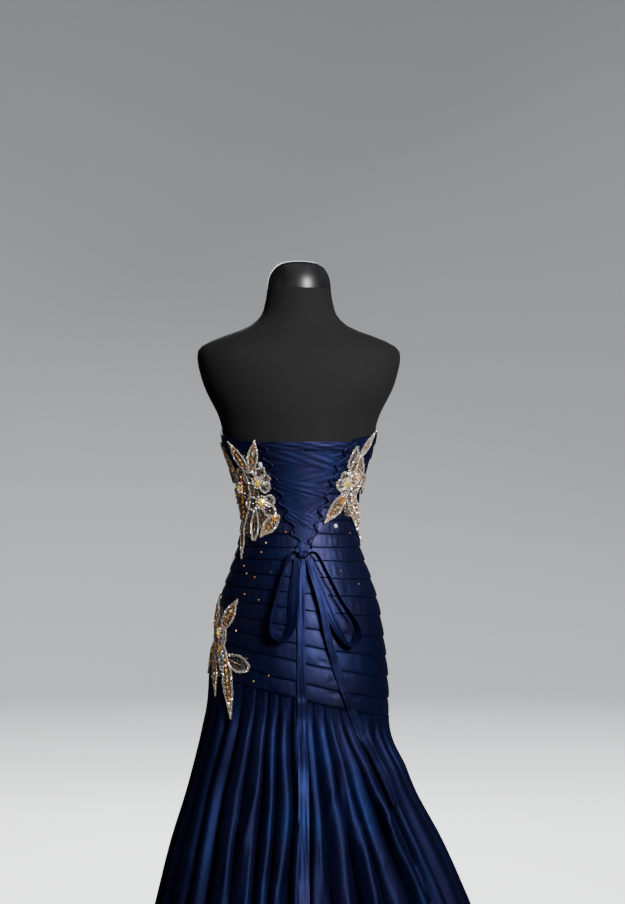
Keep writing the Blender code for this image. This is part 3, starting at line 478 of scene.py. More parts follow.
def finished(name: str, points: Array, faces: list, uv: Array | None, finish: Finish, sharp: float) -> Piece:
    """A closed mesh with its faces outward, smooth but for its sharp edges.

    Args:
        name: The piece's name.
        points: Its points, in any grid.
        faces: Its faces as indices.
        uv: The weave's coordinates of each point in metres, or None.
        finish: What it is made of.
        sharp: The angle in degrees past which an edge is sharp.

    Returns:
        The object.
    """
    mesh = mesh_of(name, points, faces)
    if uv is not None:
        corner = np.empty(len(mesh.loops), np.int32)
        mesh.loops.foreach_get("vertex_index", corner)
        layer = mesh.uv_layers.new(name="weave")
        layer.data.foreach_set("uv", uv.reshape(-1, 2)[corner].astype(np.float32).ravel())
    builder = bmesh.new()
    builder.from_mesh(mesh)
    bmesh.ops.recalc_face_normals(builder, faces=builder.faces)
    builder.to_mesh(mesh)
    builder.free()
    mesh.shade_smooth()
    mesh.set_sharp_from_angle(angle=math.radians(sharp))
    mesh.materials.append(finish.material())
    return add_object(name, mesh)


def shell(
    name: str, outer: Array, wall: float, uv: Array, finish: Finish, inner: Array | None = None
) -> Piece:
    """Thin cloth over a grid of points: an outer and an inner face joined round the edges.

    Args:
        name: The piece's name.
        outer: The outer face, rows by columns by 3.
        wall: How thick the cloth is.
        uv: The weave's coordinates in metres, rows by columns by 2.
        finish: What it is made of.
        inner: The inner face, where it doesn't follow the outer one.

    Returns:
        The object.
    """
    rows, columns = outer.shape[:2]
    if inner is None:
        inner = outer - grid_normals(outer) * wall
    count = rows * columns
    faces = faces_of_grid(rows, columns, 0, False, False) + faces_of_grid(rows, columns, count, True, False)
    numbers = np.arange(count).reshape(rows, columns)
    for line in (numbers[0], numbers[:, -1], numbers[-1, ::-1], numbers[::-1, 0]):
        line = line.tolist()
        faces += [(start, start + count, end + count, end) for start, end in zip(line, line[1:])]
    points, uv = np.concatenate([outer, inner]), np.concatenate([uv, uv])
    return finished(name, points, faces, uv, finish, CLOTH_CORNER)


def loft(name: str, rings: Array, finish: Finish, uv: Array | None = None) -> Piece:
    """A solid through closed rings of equal size, with flat ends.

    Args:
        name: The piece's name.
        rings: Rings by points by 3, each running anticlockwise as seen from beyond the last ring.
        finish: What it is made of.
        uv: The weave's coordinates in metres, rings by points by 2.

    Returns:
        The object.
    """
    count, sides = rings.shape[:2]
    faces = faces_of_grid(count, sides, 0, False, True)
    faces += [tuple(range(sides))[::-1], tuple(range((count - 1) * sides, count * sides))]
    return finished(name, rings, faces, uv, finish, SOLID_CORNER)


def place(piece: Piece, slot: str, *nodes: str) -> Piece:
    """Puts a finished piece on the dress in the place of the nodes that it stands for."""
    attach(piece, "root")
    if nodes:
        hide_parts(*nodes)
    triangles = sum(len(face.vertices) - 2 for face in piece.data.polygons)
    LOG.info("%s: %d triangles", piece.name, triangles)
    return piece


def cut_as_cloth(piece: Piece, outer: Array, rests_on: Sequence[str]) -> None:
    """Logs the flat size of a cloth piece, measured on its outer face.

    Args:
        piece: The finished cloth.
        outer: Its outer face, rows by columns by 3.
        rests_on: Not used.
    """
    width = float(arc_lengths(outer)[:, -1].max())
    length = float(arc_lengths(outer.transpose(1, 0, 2))[:, -1].max())
    across, along = np.diff(outer, axis=1)[:-1], np.diff(outer, axis=0)[:, :-1]
    area = float(np.linalg.norm(np.cross(across, along), axis=-1).sum())
    area = min(max(area, 0.31 * width * length), width * length)
    LOG.info("%s: cut %.3f by %.3f m, %.4f square metres", piece.name, width, length, area)


# Shader maths


@dataclass
class Wire:
    """A shader socket of a material that can stand in a sum."""

    paint: Paint
    socket: Socket

    def joined(self, operation: str, *values: float | Wire) -> Wire:
        """A Math node over these values."""
        sockets = {str(index): value for index, value in enumerate(values)}
        return self.paint.add("Math", {"operation": operation}, sockets)["Value"]

    def __add__(self, other: float | Wire) -> Wire:
        """This plus another."""
        return self.joined("ADD", self, other)

    __radd__ = __add__

    def __sub__(self, other: float | Wire) -> Wire:
        """This less another."""
        return self.joined("SUBTRACT", self, other)

    def __rsub__(self, other: float) -> Wire:
        """A number less this."""
        return self.joined("SUBTRACT", other, self)

    def __mul__(self, other: float | Wire) -> Wire:
        """This times another."""
        return self.joined("MULTIPLY", self, other)

    __rmul__ = __mul__

    def sine(self) -> Wire:
        """The sine of this."""
        return self.joined("SINE", self)

    def between(self, low: float, high: float) -> Wire:
        """0 below low, 1 above high and an easy curve between."""
        sockets = {"Value": self, "From Min": low, "From Max": high}
        return self.paint.add("MapRange", {"interpolation_type": "SMOOTHSTEP"}, sockets)["Result"]


@dataclass
class Made:
    """A node that was just added, whose outputs are read by name."""

    paint: Paint
    node: bpy.types.Node

    def __getitem__(self, name: str) -> Wire:
        """The output of that name."""
        found = next(socket for socket in self.node.outputs if name in (socket.identifier, socket.name))
        return Wire(self.paint, found)


class Paint:
    """A node material under construction."""

    def __init__(self, name: str) -> None:
        """Starts an empty material.

        Args:
            name: Its name.
        """
        self.material = bpy.data.materials.new(name)
        self.material.use_nodes = True
        self.tree = self.material.node_tree
        self.tree.nodes.clear()
        self.end = self.tree.nodes.new("ShaderNodeOutputMaterial")

    def add(self, kind: str, settings: dict | None = None, sockets: dict | None = None) -> Made:
        """Adds a node.

        Args:
            kind: Its type, less its first words.
            settings: Its own options, or a ramp's stops under "stops".
            sockets: Values or wires by the name, identifier or index of an input.

        Returns:
            The node.
        """
        node = self.tree.nodes.new(f"ShaderNode{kind}")
        for name, value in (settings or {}).items():
            if name == "stops":
                fill_ramp(node.color_ramp, value)
            else:
                setattr(node, name, value)
        for name, value in (sockets or {}).items():
            if name.isdigit():
                socket = node.inputs[int(name)]
            else:
                socket = next(s for s in node.inputs if name in (s.identifier, s.name))
            if isinstance(value, Wire):
                self.tree.links.new(value.socket, socket)
            else:
                socket.default_value = value
        return Made(self, node)

    def blend(self, share: Wire, first: Colour | Wire, second: Colour | Wire) -> Wire:
        """A colour between two others."""
        colours = [value if isinstance(value, Wire) else (*value, 1.0) for value in (first, second)]
        sockets = {"Factor_Float": share, "A_Color": colours[0], "B_Color": colours[1]}
        return self.add("Mix", {"data_type": "RGBA"}, sockets)["Result_Color"]

    def noise(self, vector: Wire, scale: float, detail: float = 2.0, rough: float = 0.5) -> Wire:
        """Soft noise from 0 to 1."""
        sockets = {"Vector": vector, "Scale": scale, "Detail": detail, "Roughness": rough}
        return self.add("TexNoise", {}, sockets)["Fac"]

    def stretched(self, vector: Wire, scale: Colour, turn: Colour = (0.0, 0.0, 0.0)) -> Wire:
        """Coordinates scaled and turned, in degrees."""
        sockets = {"Vector": vector, "Scale": scale, "Rotation": tuple(math.radians(part) for part in turn)}
        return self.add("Mapping", {}, sockets)["Vector"]

    def relief(self, height: Wire, distance: float, strength: float = 1.0, below: Wire | None = None) -> Wire:
        """A bump from a height, over another where one is given."""
        sockets: dict = {"Height": height, "Distance": distance, "Strength": strength}
        if below is not None:
            sockets["Normal"] = below
        return self.add("Bump", {}, sockets)["Normal"]

    def surface(self, sockets: dict) -> Material:
        """Ends the material in a Principled BSDF with these sockets."""
        shader = self.add("BsdfPrincipled", {}, sockets)
        self.tree.links.new(shader.node.outputs[0], self.end.inputs["Surface"])
        return self.material


def fill_ramp(ramp: bpy.types.ColorRamp, stops: Sequence[tuple[float, Colour]]) -> None:
    """Gives a colour ramp its stops."""
    while len(ramp.elements) < len(stops):
        ramp.elements.new(0.5)
    for element, (position, colour) in zip(ramp.elements, stops):
        element.position = position
        element.color = (*colour, 1.0)


class Finish:
    """What a piece is made of. Each kind builds its material once."""

    name: str

    def material(self) -> Material:
        """The finish's material."""
        return bpy.data.materials.get(self.name) or self.build()

    def sockets(self, paint: Paint) -> dict:
        """What feeds the shader."""
        raise NotImplementedError

    def build(self) -> Material:
        """Builds the material."""
        paint = Paint(self.name)
        return paint.surface(self.sockets(paint))


@dataclass(frozen=True)
class Taffeta(Finish):
    """Crisp yarn-dyed taffeta: fine cross ribs, a papery crinkle and a sheen of its own colour."""

    name: str
    deep: Colour = (0.0058, 0.0086, 0.0520)
    purple: Colour = (0.0130, 0.0125, 0.0560)
    bright: Colour = (0.0085, 0.0240, 0.1150)
    metallic: float = 0.70
    rough: float = 0.44
    rib_pitch: float = 0.00055
    crinkle: float = 1.0

    def sockets(self, paint: Paint) -> dict:
        """What feeds the shader."""
        where = paint.add("TexCoord")
        solid, weave = where["Object"], where["UV"]
        parts = paint.add("SeparateXYZ", {}, {"Vector": weave})
        ribs = (parts["Y"] * (math.tau / self.rib_pitch)).sine() * 0.5 + 0.5
        warp = (parts["X"] * (math.tau / self.rib_pitch)).sine() * 0.5 + 0.5
        slubs = paint.noise(paint.stretched(weave, (30.0, 900.0, 1.0)), 1.0, 2.0)
        shading = paint.noise(paint.stretched(solid, (1.0, 1.0, 0.45)), 7.0, 3.0, 0.6)
        clouds = paint.noise(paint.stretched(solid, (1.0, 1.0, 0.6), (3.0, 7.0, 1.0)), 11.0, 4.0, 0.6)
        colour = paint.blend(shading.between(0.42, 0.66), self.deep, self.purple)
        colour = paint.blend(clouds.between(0.46, 0.72) * 0.6, colour, self.bright)
        colour = paint.blend(slubs.between(0.55, 0.80) * 0.10, colour, self.bright)
        rough = self.rough + 0.10 * (shading - 0.5) + 0.05 * (slubs - 0.5)
        crumple = paint.noise(paint.stretched(solid, (1.0, 1.0, 0.55)), 26.0, 4.0, 0.55)
        leaning = paint.stretched(solid, (1.0, 1.0, 0.5), (12.0, 20.0, 0.0))
        sockets = {"Vector": leaning, "Scale": 22.0, "Smoothness": 0.35}
        folds = paint.add("TexVoronoi", {"feature": "SMOOTH_F1"}, sockets)["Distance"]
        normal = paint.relief(crumple + 0.8 * folds, 0.0030 * self.crinkle, 0.55)
        normal = paint.relief(ribs * warp + 0.2 * slubs, 0.00006, 0.5, normal)
        sheen = {"Sheen Weight": 0.06, "Sheen Tint": (0.25, 0.30, 0.8, 1.0), "Sheen Roughness": 0.35}
        look = {"Base Color": colour, "Roughness": rough, "Metallic": self.metallic, "Normal": normal}
        return {**look, **sheen}


@dataclass(frozen=True)
class Jersey(Finish):
    """The close black knit that covers the dress form."""

    name: str = "black jersey"
    dark: Colour = (0.0022, 0.0022, 0.0025)
    light: Colour = (0.0052, 0.0052, 0.0058)
    stitch: float = 0.0011

    def sockets(self, paint: Paint) -> dict:
        """What feeds the shader."""
        weave = paint.add("TexCoord")["UV"]
        parts = paint.add("SeparateXYZ", {}, {"Vector": weave})
        wale = (parts["X"] * (math.tau / self.stitch)).sine()
        course = (parts["Y"] * (math.tau / self.stitch) + 1.2 * wale).sine() * 0.5 + 0.5
        cloud = paint.noise(weave, 18.0, 3.0)
        colour = paint.blend(cloud.between(0.35, 0.7), self.dark, self.light)
        normal = paint.relief(course * (0.6 + 0.4 * wale), 0.00020, 0.5)
        sheen = {"Sheen Weight": 0.02, "Sheen Tint": (0.6, 0.6, 0.7, 1.0), "Sheen Roughness": 0.5}
        return {"Base Color": colour, "Roughness": 0.82 + 0.1 * cloud, "Normal": normal, **sheen}


@dataclass(frozen=True)
class Enamel(Finish):
    """Satin black enamel on the stand, with a faint orange peel and dust."""

    name: str = "black enamel"
    dark: Colour = (0.008, 0.008, 0.009)
    dusty: Colour = (0.030, 0.030, 0.032)

    def sockets(self, paint: Paint) -> dict:
        """What feeds the shader."""
        solid = paint.add("TexCoord")["Object"]
        dust = paint.noise(solid, 14.0, 5.0, 0.65)
        peel = paint.noise(solid, 420.0, 1.0)
        colour = paint.blend(dust.between(0.45, 0.8), self.dark, self.dusty)
        coat = {"Coat Weight": 0.3, "Coat Roughness": 0.25}
        normal = paint.relief(peel, 0.00012, 0.4)
        return {"Base Color": colour, "Roughness": 0.30 + 0.22 * dust, "Normal": normal, **coat}


@dataclass(frozen=True)
class Net(Finish):
    """The dark net ground of an applique, crossed by silvery couching thread."""

    name: str = "applique net"
    ground: Colour = (0.012, 0.012, 0.022)
    thread: Colour = (0.20, 0.17, 0.13)

    def sockets(self, paint: Paint) -> dict:
        """What feeds the shader."""
        solid = paint.add("TexCoord")["Object"]
        sockets = {"Vector": solid, "Scale": 420.0}
        cells = paint.add("TexVoronoi", {"feature": "DISTANCE_TO_EDGE"}, sockets)["Distance"]
        patch = paint.noise(solid, 90.0, 3.0)
        share = (1 - cells.between(0.02, 0.22)) * patch.between(0.40, 0.62)
        return {
            "Base Color": paint.blend(share, self.ground, self.thread),
            "Roughness": 0.62 - 0.25 * share,
            "Metallic": 0.5 * share,
            "Normal": paint.relief(share, 0.0005, 0.8),
        }


@dataclass(frozen=True)
class Beading(Finish):
    """Glass or metal beads whose colour follows the tone that each bead carries, from 0 to 1, and which may
    glow in patches of their own colour: a painted glint.
    """

    name: str
    stops: tuple[tuple[float, Colour], ...]
    metallic: float = 0.7
    rough: float = 0.13
    coat: float = 0.6
    # How strongly the beads glow as painted glints, 0 for none
    fire_within: float = 0.0

    def sockets(self, paint: Paint) -> dict:
        """What feeds the shader."""
        tone = paint.add("Attribute", {"attribute_name": "tone"})["Fac"]
        solid = paint.add("TexCoord")["Object"]
        # A fine noise: it jitters each bead's tone and roughness, and it also masks where the painted glints
        # glow
        jitter_and_glint = paint.noise(solid, 260.0, 1.0)
        ramp = paint.add("ValToRGB", {"stops": self.stops}, {"Fac": tone + 0.10 * (jitter_and_glint - 0.5)})
        return {
            "Base Color": ramp["Color"],
            # Painted glints: the beads glow in their own colour where the noise is high, a painted highlight
            # with no lamp behind it
            "Emission Color": paint.blend(jitter_and_glint.between(0.40, 0.62), (0.0, 0.0, 0.0), ramp["Color"]),
            "Emission Strength": self.fire_within,
            "Roughness": self.rough + 0.10 * jitter_and_glint,
            "Metallic": self.metallic,
            "Coat Weight": self.coat,
            "Coat Roughness": 0.05,
        }


@dataclass(frozen=True)
class StudioPaint(Finish):
    """The matt pale paint of the studio floor and sweep."""

    name: str = "studio paint"
    colour: Colour = (0.62, 0.63, 0.65)

    def sockets(self, paint: Paint) -> dict:
        """What feeds the shader."""
        solid = paint.add("TexCoord")["Object"]
        cloud = paint.noise(solid, 0.6, 3.0)
        darker = tuple(part * 0.94 for part in self.colour)
        return {"Base Color": paint.blend(cloud, darker, self.colour), "Roughness": 0.85}


BODICE_TAFFETA = Taffeta("bodice taffeta", crinkle=0.55)
SKIRT_TAFFETA = Taffeta(
    "skirt taffeta", purple=(0.0090, 0.0100, 0.0550), bright=(0.0080, 0.0260, 0.1300),
    metallic=0.80, rough=0.56,
)
RIBBON_TAFFETA = Taffeta(
    "ribbon taffeta", deep=(0.0085, 0.0125, 0.0700), bright=(0.0120, 0.0330, 0.1500), metallic=0.8, rough=0.50
)
CORD_TAFFETA = Taffeta("cord taffeta", deep=(0.003, 0.006, 0.050), bright=(0.004, 0.012, 0.085), crinkle=0.2)
SILVER: Colour = (0.70, 0.62, 0.56)
CHAMPAGNE: Colour = (0.80, 0.58, 0.36)
AMBER: Colour = (0.62, 0.27, 0.045)
DARK_AMBER: Colour = (0.30, 0.080, 0.012)
TEAL: Colour = (0.10, 0.50, 0.48)
PINK: Colour = (0.72, 0.22, 0.30)
BEADS = Beading(
    "beads",
    (
        (0.00, (0.030, 0.028, 0.034)), (0.12, (0.16, 0.14, 0.13)), (0.20, SILVER),
        (0.48, (0.98, 0.92, 0.86)), (0.56, CHAMPAGNE), (0.68, (0.82, 0.50, 0.15)), (0.80, AMBER),
        (0.90, DARK_AMBER), (0.95, TEAL), (1.00, PINK),
    ),
)
# The cut stones glow a little in patches of their own colour: painted glints
STONES = Beading(
    "cut stones",
    (
        (0.00, (0.95, 0.92, 0.90)), (0.45, (0.90, 0.86, 0.80)), (0.52, (0.98, 0.62, 0.07)),
        (0.60, (0.92, 0.78, 0.20)), (0.68, (0.60, 0.82, 0.50)), (0.76, AMBER), (0.90, DARK_AMBER),
        (1.00, PINK),
    ),
    metallic=0.50, rough=0.08, coat=1.0, fire_within=0.8,
)
NET = Net()
JERSEY = Jersey()
ENAMEL = Enamel()


# Geometry Nodes


STONE_DEPTH = 0.62
STITCH_SHARE = 0.68


class Growth:
    """A geometry-node tree with named inputs, which grows many small pieces on a mesh."""

    def __init__(self, name: str, inputs: dict[str, str]) -> None:
        """Starts a tree.

        Args:
            name: Its name.
            inputs: The socket type of each named input.
        """
        self.group = bpy.data.node_groups.new(name, "GeometryNodeTree")
        face = self.group.interface
        face.new_socket("Geometry", in_out="INPUT", socket_type="NodeSocketGeometry")
        face.new_socket("Geometry", in_out="OUTPUT", socket_type="NodeSocketGeometry")
        self.identifiers = {}
        for label, kind in inputs.items():
            self.identifiers[label] = face.new_socket(label, in_out="INPUT", socket_type=kind).identifier
        self.start = self.group.nodes.new("NodeGroupInput")
        self.end = self.group.nodes.new("NodeGroupOutput")

    def given(self, label: str) -> Socket:
        """The socket that brings a named input in."""
        return self.start.outputs[label]

    def add(self, kind: str, settings: dict, sockets: dict) -> Socket:
        """Adds a node.

        Args:
            kind: Its full type.
            settings: Its own options.
            sockets: Values or output sockets by the name or identifier of an input.

        Returns:
            The first output that the node uses.
        """
        node = self.group.nodes.new(kind)
        for name, value in settings.items():
            setattr(node, name, value)
        for name, value in sockets.items():
            socket = next(s for s in node.inputs if name in (s.identifier, s.name) and s.enabled)
            if isinstance(value, Socket):
                self.group.links.new(value, socket)
            else:
                socket.default_value = value
        return next(socket for socket in node.outputs if socket.enabled)

    def ended(self, geometry: Socket, smooth: bool) -> Growth:
        """Ends the tree: real meshes, their shading and their material."""
        real = self.add("GeometryNodeRealizeInstances", {}, {"Geometry": geometry})
        shaded = self.add("GeometryNodeSetShadeSmooth", {}, {"Geometry": real, "Shade Smooth": smooth})
        sockets = {"Geometry": shaded, "Material": self.given("Material")}
        dressed = self.add("GeometryNodeSetMaterial", {}, sockets)
        self.group.links.new(dressed, self.end.inputs[0])
        return self

    def set_out(self, points: Socket, piece: Socket, **more: Socket) -> Socket:
        """Copies of a piece on every point, with their rotation and scale where they are given."""
        return self.add("GeometryNodeInstanceOnPoints", {}, {"Points": points, "Instance": piece, **more})

    def beaded(self, spots: Socket, segments: int, sizes: tuple[float, float], turns: dict) -> Growth:
        """Ends the tree in a bead on every spot, each turned, sized and toned by chance.

        Args:
            spots: The points.
            segments: How many sides a bead has.
            sizes: The least and the largest share of the bead's size.
            turns: What else sets the beads' turns.

        Returns:
            The tree.
        """
        sockets = {"Segments": segments, "Rings": 4, "Radius": self.given("Size")}
        bead = self.add("GeometryNodeMeshUVSphere", {}, sockets)
        sockets = {"Max": (math.tau, math.tau, math.tau), **turns}
        turn = self.add("FunctionNodeRandomValue", {"data_type": "FLOAT_VECTOR"}, sockets)
        size_range = {"Min": sizes[0], "Max": sizes[1]}
        scale = self.add("FunctionNodeRandomValue", {"data_type": "FLOAT"}, size_range)
        copies = self.set_out(spots, bead, Rotation=turn, Scale=scale)
        sockets = {"Min": self.given("Low tone"), "Max": self.given("High tone"), "Seed": self.given("Seed")}
        tone = self.add("FunctionNodeRandomValue", {"data_type": "FLOAT"}, sockets)
        settings = {"data_type": "FLOAT", "domain": "INSTANCE"}
        sockets = {"Geometry": copies, "Name": "tone", "Value": tone}
        return self.ended(self.add("GeometryNodeStoreNamedAttribute", settings, sockets), False)

    def grow(self, name: str, source: Mesh, values: dict) -> Piece:
        """Runs the tree on a mesh and keeps what grows as a plain mesh.

        Args:
            name: The new piece's name.
            source: The mesh that it grows on.
            values: The value of each named input.

        Returns:
            The piece.
        """
        carrier = add_object(f"{name}_source", source)
        modifier = carrier.modifiers.new("growth", "NODES")
        modifier.node_group = self.group
        for label, value in values.items():
            modifier[self.identifiers[label]] = value
        graph = bpy.context.evaluated_depsgraph_get()
        made = bpy.data.meshes.new_from_object(carrier.evaluated_get(graph), depsgraph=graph)
        carrier.modifiers.remove(modifier)
        bpy.data.objects.remove(carrier, do_unlink=True)
        made.name = name
        return add_object(name, made)


FLOAT = "NodeSocketFloat"
MATERIAL = {"Material": "NodeSocketMaterial"}
BEADED = {"Low tone": FLOAT, "High tone": FLOAT, "Seed": "NodeSocketInt", **MATERIAL}


def curve_of(tree: Growth) -> Socket:
    """The lines that a tree is given, as curves."""
    return tree.add("GeometryNodeMeshToCurve", {}, {"Mesh": tree.given("Geometry")})


def bead_rows() -> Growth:
    """A tree that strings round beads along every line of a mesh."""
    tree = Growth("bead rows", {"Size": FLOAT, "Spacing": FLOAT, **BEADED})
    sockets = {"Curve": curve_of(tree), "Length": tree.given("Spacing")}
    even = tree.add("GeometryNodeResampleCurve", {"mode": "LENGTH"}, sockets)
    return tree.beaded(even, 6, (0.82, 1.12), {"Seed": tree.given("Seed")})


def bead_scatter() -> Growth:
    """A tree that sews small beads all over the faces of a mesh, none closer than a given distance."""
    tree = Growth("bead scatter", {"Size": FLOAT, "Distance": FLOAT, **BEADED})
    sockets = {"Mesh": tree.given("Geometry"), "Distance Min": tree.given("Distance")}
    sockets |= {"Density Max": 400000.0, "Seed": tree.given("Seed")}
    spots = tree.add("GeometryNodeDistributePointsOnFaces", {"distribute_method": "POISSON"}, sockets)
    return tree.beaded(spots, 5, (0.65, 1.30), {})


def stone_settings() -> Growth:
    """A tree that sets a faceted stone on each point of a mesh, by its size, turn and tone attributes."""
    tree = Growth("stone settings", {"Sides": "NodeSocketInt", **MATERIAL})
    sockets = {
        "Vertices": tree.given("Sides"), "Radius Top": 0.42, "Radius Bottom": 1.0, "Depth": STONE_DEPTH
    }
    crown = tree.add("GeometryNodeMeshCone", {"fill_type": "NGON"}, sockets)
    size, turn = (
        tree.add("GeometryNodeInputNamedAttribute", {"data_type": "FLOAT_VECTOR"}, {"Name": name})
        for name in ("size", "turn")
    )
    return tree.ended(tree.set_out(tree.given("Geometry"), crown, Rotation=turn, Scale=size), False)


def cord_along() -> Growth:
    """A tree that runs a round cord along every line of a mesh."""
    tree = Growth("cord along", {"Radius": FLOAT, **MATERIAL})
    sockets = {"Resolution": 10, "Radius": tree.given("Radius")}
    section = tree.add("GeometryNodeCurvePrimitiveCircle", {"mode": "RADIUS"}, sockets)
    sockets = {"Curve": curve_of(tree), "Profile Curve": section, "Fill Caps": True}
    return tree.ended(tree.add("GeometryNodeCurveToMesh", {}, sockets), True)


def stitch_rows() -> Growth:
    """A tree that lays short thread stitches end to end along every line of a mesh."""
    tree = Growth("stitch rows", {"Length": FLOAT, "Thread": FLOAT, **MATERIAL})
    sockets = {"Curve": curve_of(tree), "Length": tree.given("Length")}
    spots = tree.add("GeometryNodeCurveToPoints", {"mode": "LENGTH"}, sockets)
    sockets = {"Value": tree.given("Length"), "Value_001": STITCH_SHARE}
    reach = tree.add("ShaderNodeMath", {"operation": "MULTIPLY"}, sockets)
    sockets = {"Vertices": 5, "Radius": tree.given("Thread"), "Depth": reach}
    stitch = tree.add("GeometryNodeMeshCylinder", {}, sockets)
    sockets = {"Vector": spots.node.outputs["Tangent"]}
    aim = tree.add("FunctionNodeAlignRotationToVector", {"axis": "Z"}, sockets)
    return tree.ended(tree.set_out(spots, stitch, Rotation=aim), True)


def lines_mesh(lines: Sequence[Array], closed: bool) -> Mesh:
    """A mesh of plain lines for a tree to follow.

    Args:
        lines: Each line's points.
        closed: True joins each line's end to its start.

    Returns:
        The mesh.
    """
    points, edges = [], []
    for line in lines:
        first = len(points)
        points += [tuple(point) for point in line]
        edges += [(first + index, first + index + 1) for index in range(len(line) - 1)]
        if closed:
            edges.append((len(points) - 1, first))
    mesh = mesh_of("lines", points, edges=edges)
    return mesh


def straight_run(rows: Table, steps: Array) -> Array:
    """Values at steps along the rows of a table, on a cubic curve through them.

    Args:
        rows: The table's rows.
        steps: Places along it, counted in rows.

    Returns:
        One row of values for each step.
    """
    table = np.asarray(rows, float)
    start = np.minimum(steps.astype(int), len(table) - 2)
    share = (steps - start)[:, None]
    a, b, c, d = (table[np.clip(start + shift, 0, len(table) - 1)] for shift in (-1, 0, 1, 2))
    return b + share * (c - a + share * (2 * a - 5 * b + 4 * c - d + share * (3 * (b - c) + d - a))) / 2


def sew(name: str, lines: Sequence[Array], closed: bool) -> None:
    """Sews a row of short stitches along lines of points, in thread of the dress's colour."""
    values = {"Length": 4.0 * MM, "Thread": 0.28 * MM, "Material": CORD_TAFFETA.material()}
    place(stitch_rows().grow(name, lines_mesh(lines, closed), values), "taffeta")


# The dress form


@dataclass
class DressForm:
    """The limbless form: a jersey torso, a domed cap, and a pole on a round base."""

    gown: Gown
    columns: int = 112
    bevel: float = 6.0 * MM
    cap_top: float = 1.577
    cap_rings: int = 16
    stand_sides: int = 72
    pole_radius: float = 0.0165
    gap: float = 0.3 * MM
    weave_radius: float = 0.12
    base: Table = (
        (0.1965, 0.0), (0.1990, 0.0008), (0.2000, 0.0026), (0.2000, 0.0076), (0.1990, 0.0098),
        (0.1960, 0.0118), (0.1900, 0.0122), (0.1200, 0.0130), (0.0450, 0.0140),
    )
    collar: Table = (
        (0.0400, 0.0143), (0.0390, 0.0165), (0.0340, 0.0300), (0.0262, 0.0500), (0.0222, 0.0575),
        (0.0205, 0.0600),
    )

    def ring(self, height: Array, offset: Array) -> Array:
        """Closed rings of the torso, which the cups stand a little off."""
        figure = self.gown.figure
        angle = np.linspace(0, -360, self.columns, endpoint=False)[None, :]
        height, offset = height[:, None], offset[:, None]
        across = figure.outline(angle, height)[..., 0]
        forward = np.maximum(-np.cos(np.radians(angle)), 0)
        ease = figure.cup_ease * figure.cups(across, height, forward)
        return figure.point(angle, height, offset - ease)

    def torso(self) -> Piece:
        """The jersey torso, with its lower edge rounded."""
        figure = self.gown.figure
        turn = np.linspace(0, math.pi / 2, 6)
        low = figure.bottom + self.bevel * (1 - np.cos(turn))
        heights = np.concatenate([low, np.linspace(low[-1] + 0.01, figure.neck_top, 84)])
        offsets = np.concatenate([self.bevel * (np.sin(turn) - 1), np.zeros(84)])
        rings = self.ring(heights, offsets)
        uv = np.stack([np.arctan2(rings[..., 0], rings[..., 1]) * self.weave_radius, rings[..., 2]], axis=-1)
        return loft("torso_cover", rings, JERSEY, uv)

    def cap(self) -> Piece:
        """The domed cap on the neck."""
        neck_top = self.gown.figure.neck_top
        neck = self.ring(np.array([neck_top]), np.zeros(1))[0]
        rise = self.cap_top - neck_top - self.gap
        rings = []
        for turn in np.linspace(0, math.pi / 2 * 0.96, self.cap_rings):
            width = math.cos(turn) ** 0.55
            level = neck_top + self.gap + rise * math.sin(turn) / math.sin(math.pi / 2 * 0.96)
            rings.append(np.column_stack([neck[:, :2] * width, np.full(len(neck), level)]))
        return loft("neck_cap", np.array(rings), ENAMEL)

    def turned(self, name: str, profile: Table) -> Piece:
        """A solid turned about the stand's axis."""
        turn = np.linspace(0, math.tau, self.stand_sides, endpoint=False)
        circle = np.stack([np.cos(turn), np.sin(turn)], axis=-1)
        rings = [np.column_stack([radius * circle, np.full(len(turn), height)]) for radius, height in profile]
        return loft(name, np.array(rings), ENAMEL)

    def build(self) -> None:
        """Builds the form and its stand."""
        place(self.torso(), "form_cover", "form_torso")
        place(self.cap(), "form_hardware", "form_neck_cap")
        pole_top = self.gown.figure.bottom - self.gap
        pole = ((self.pole_radius, 0.0603), (self.pole_radius, pole_top))
        place(self.turned("pole", pole), "form_hardware", "stand_pole")
        place(self.turned("collar", self.collar), "form_hardware", "stand_collar")
        place(self.turned("base_plate", self.base), "form_hardware", "stand_base")


# The pleated bodice


BODICE_CREASES_BACK = (
    (72, 862, -12, 26, 3, 1.3), (104, 842, 14, 34, 2.6, 1.5), (122, 811, -6, 30, 2.4, 1.3),
    (124, 788, 4, 34, 2.6, 1.5), (99, 780, -10, 42, 2.8, 1.6), (84, 752, 12, 40, 3.4, 1.8),
    (62, 800, 34, 30, 2.6, 1.2), (48, 905, 18, 38, 3, 1), (38, 866, -16, 34, 2.6, 1.1),
    (-34, 848, 22, 30, 2.8, 1.2), (-52, 815, -14, 34, 2.4, 1.3), (-76, 826, 12, 32, 3, 1.2),
    (-62, 790, 6, 40, 2.8, 1.4), (-98, 782, -10, 34, 3.2, 1.2), (-44, 884, -24, 28, 2.4, 1.1),
    (-40, 918, 12, 34, 2.6, 1), (-66, 940, -8, 40, 2.2, 0.9), (60, 946, 10, 40, 2.2, 0.9),
    (86, 925, -6, 36, 2.4, 1), (42, 985, 16, 30, 2, 0.8), (-48, 990, -12, 34, 2, 0.8),
    (-88, 898, 10, 40, 2.6, 1), (140, 905, -10, 40, 2.4, 1), (150, 860, 8, 44, 2.6, 1.1),
    (-140, 870, -6, 46, 2.6, 1.1), (-128, 930, 12, 38, 2.4, 0.9), (-118, 1010, -8, 34, 2, 0.8),
    (96, 1040, 6, 30, 1.8, 0.7), (-92, 1060, -6, 32, 1.8, 0.7),
)
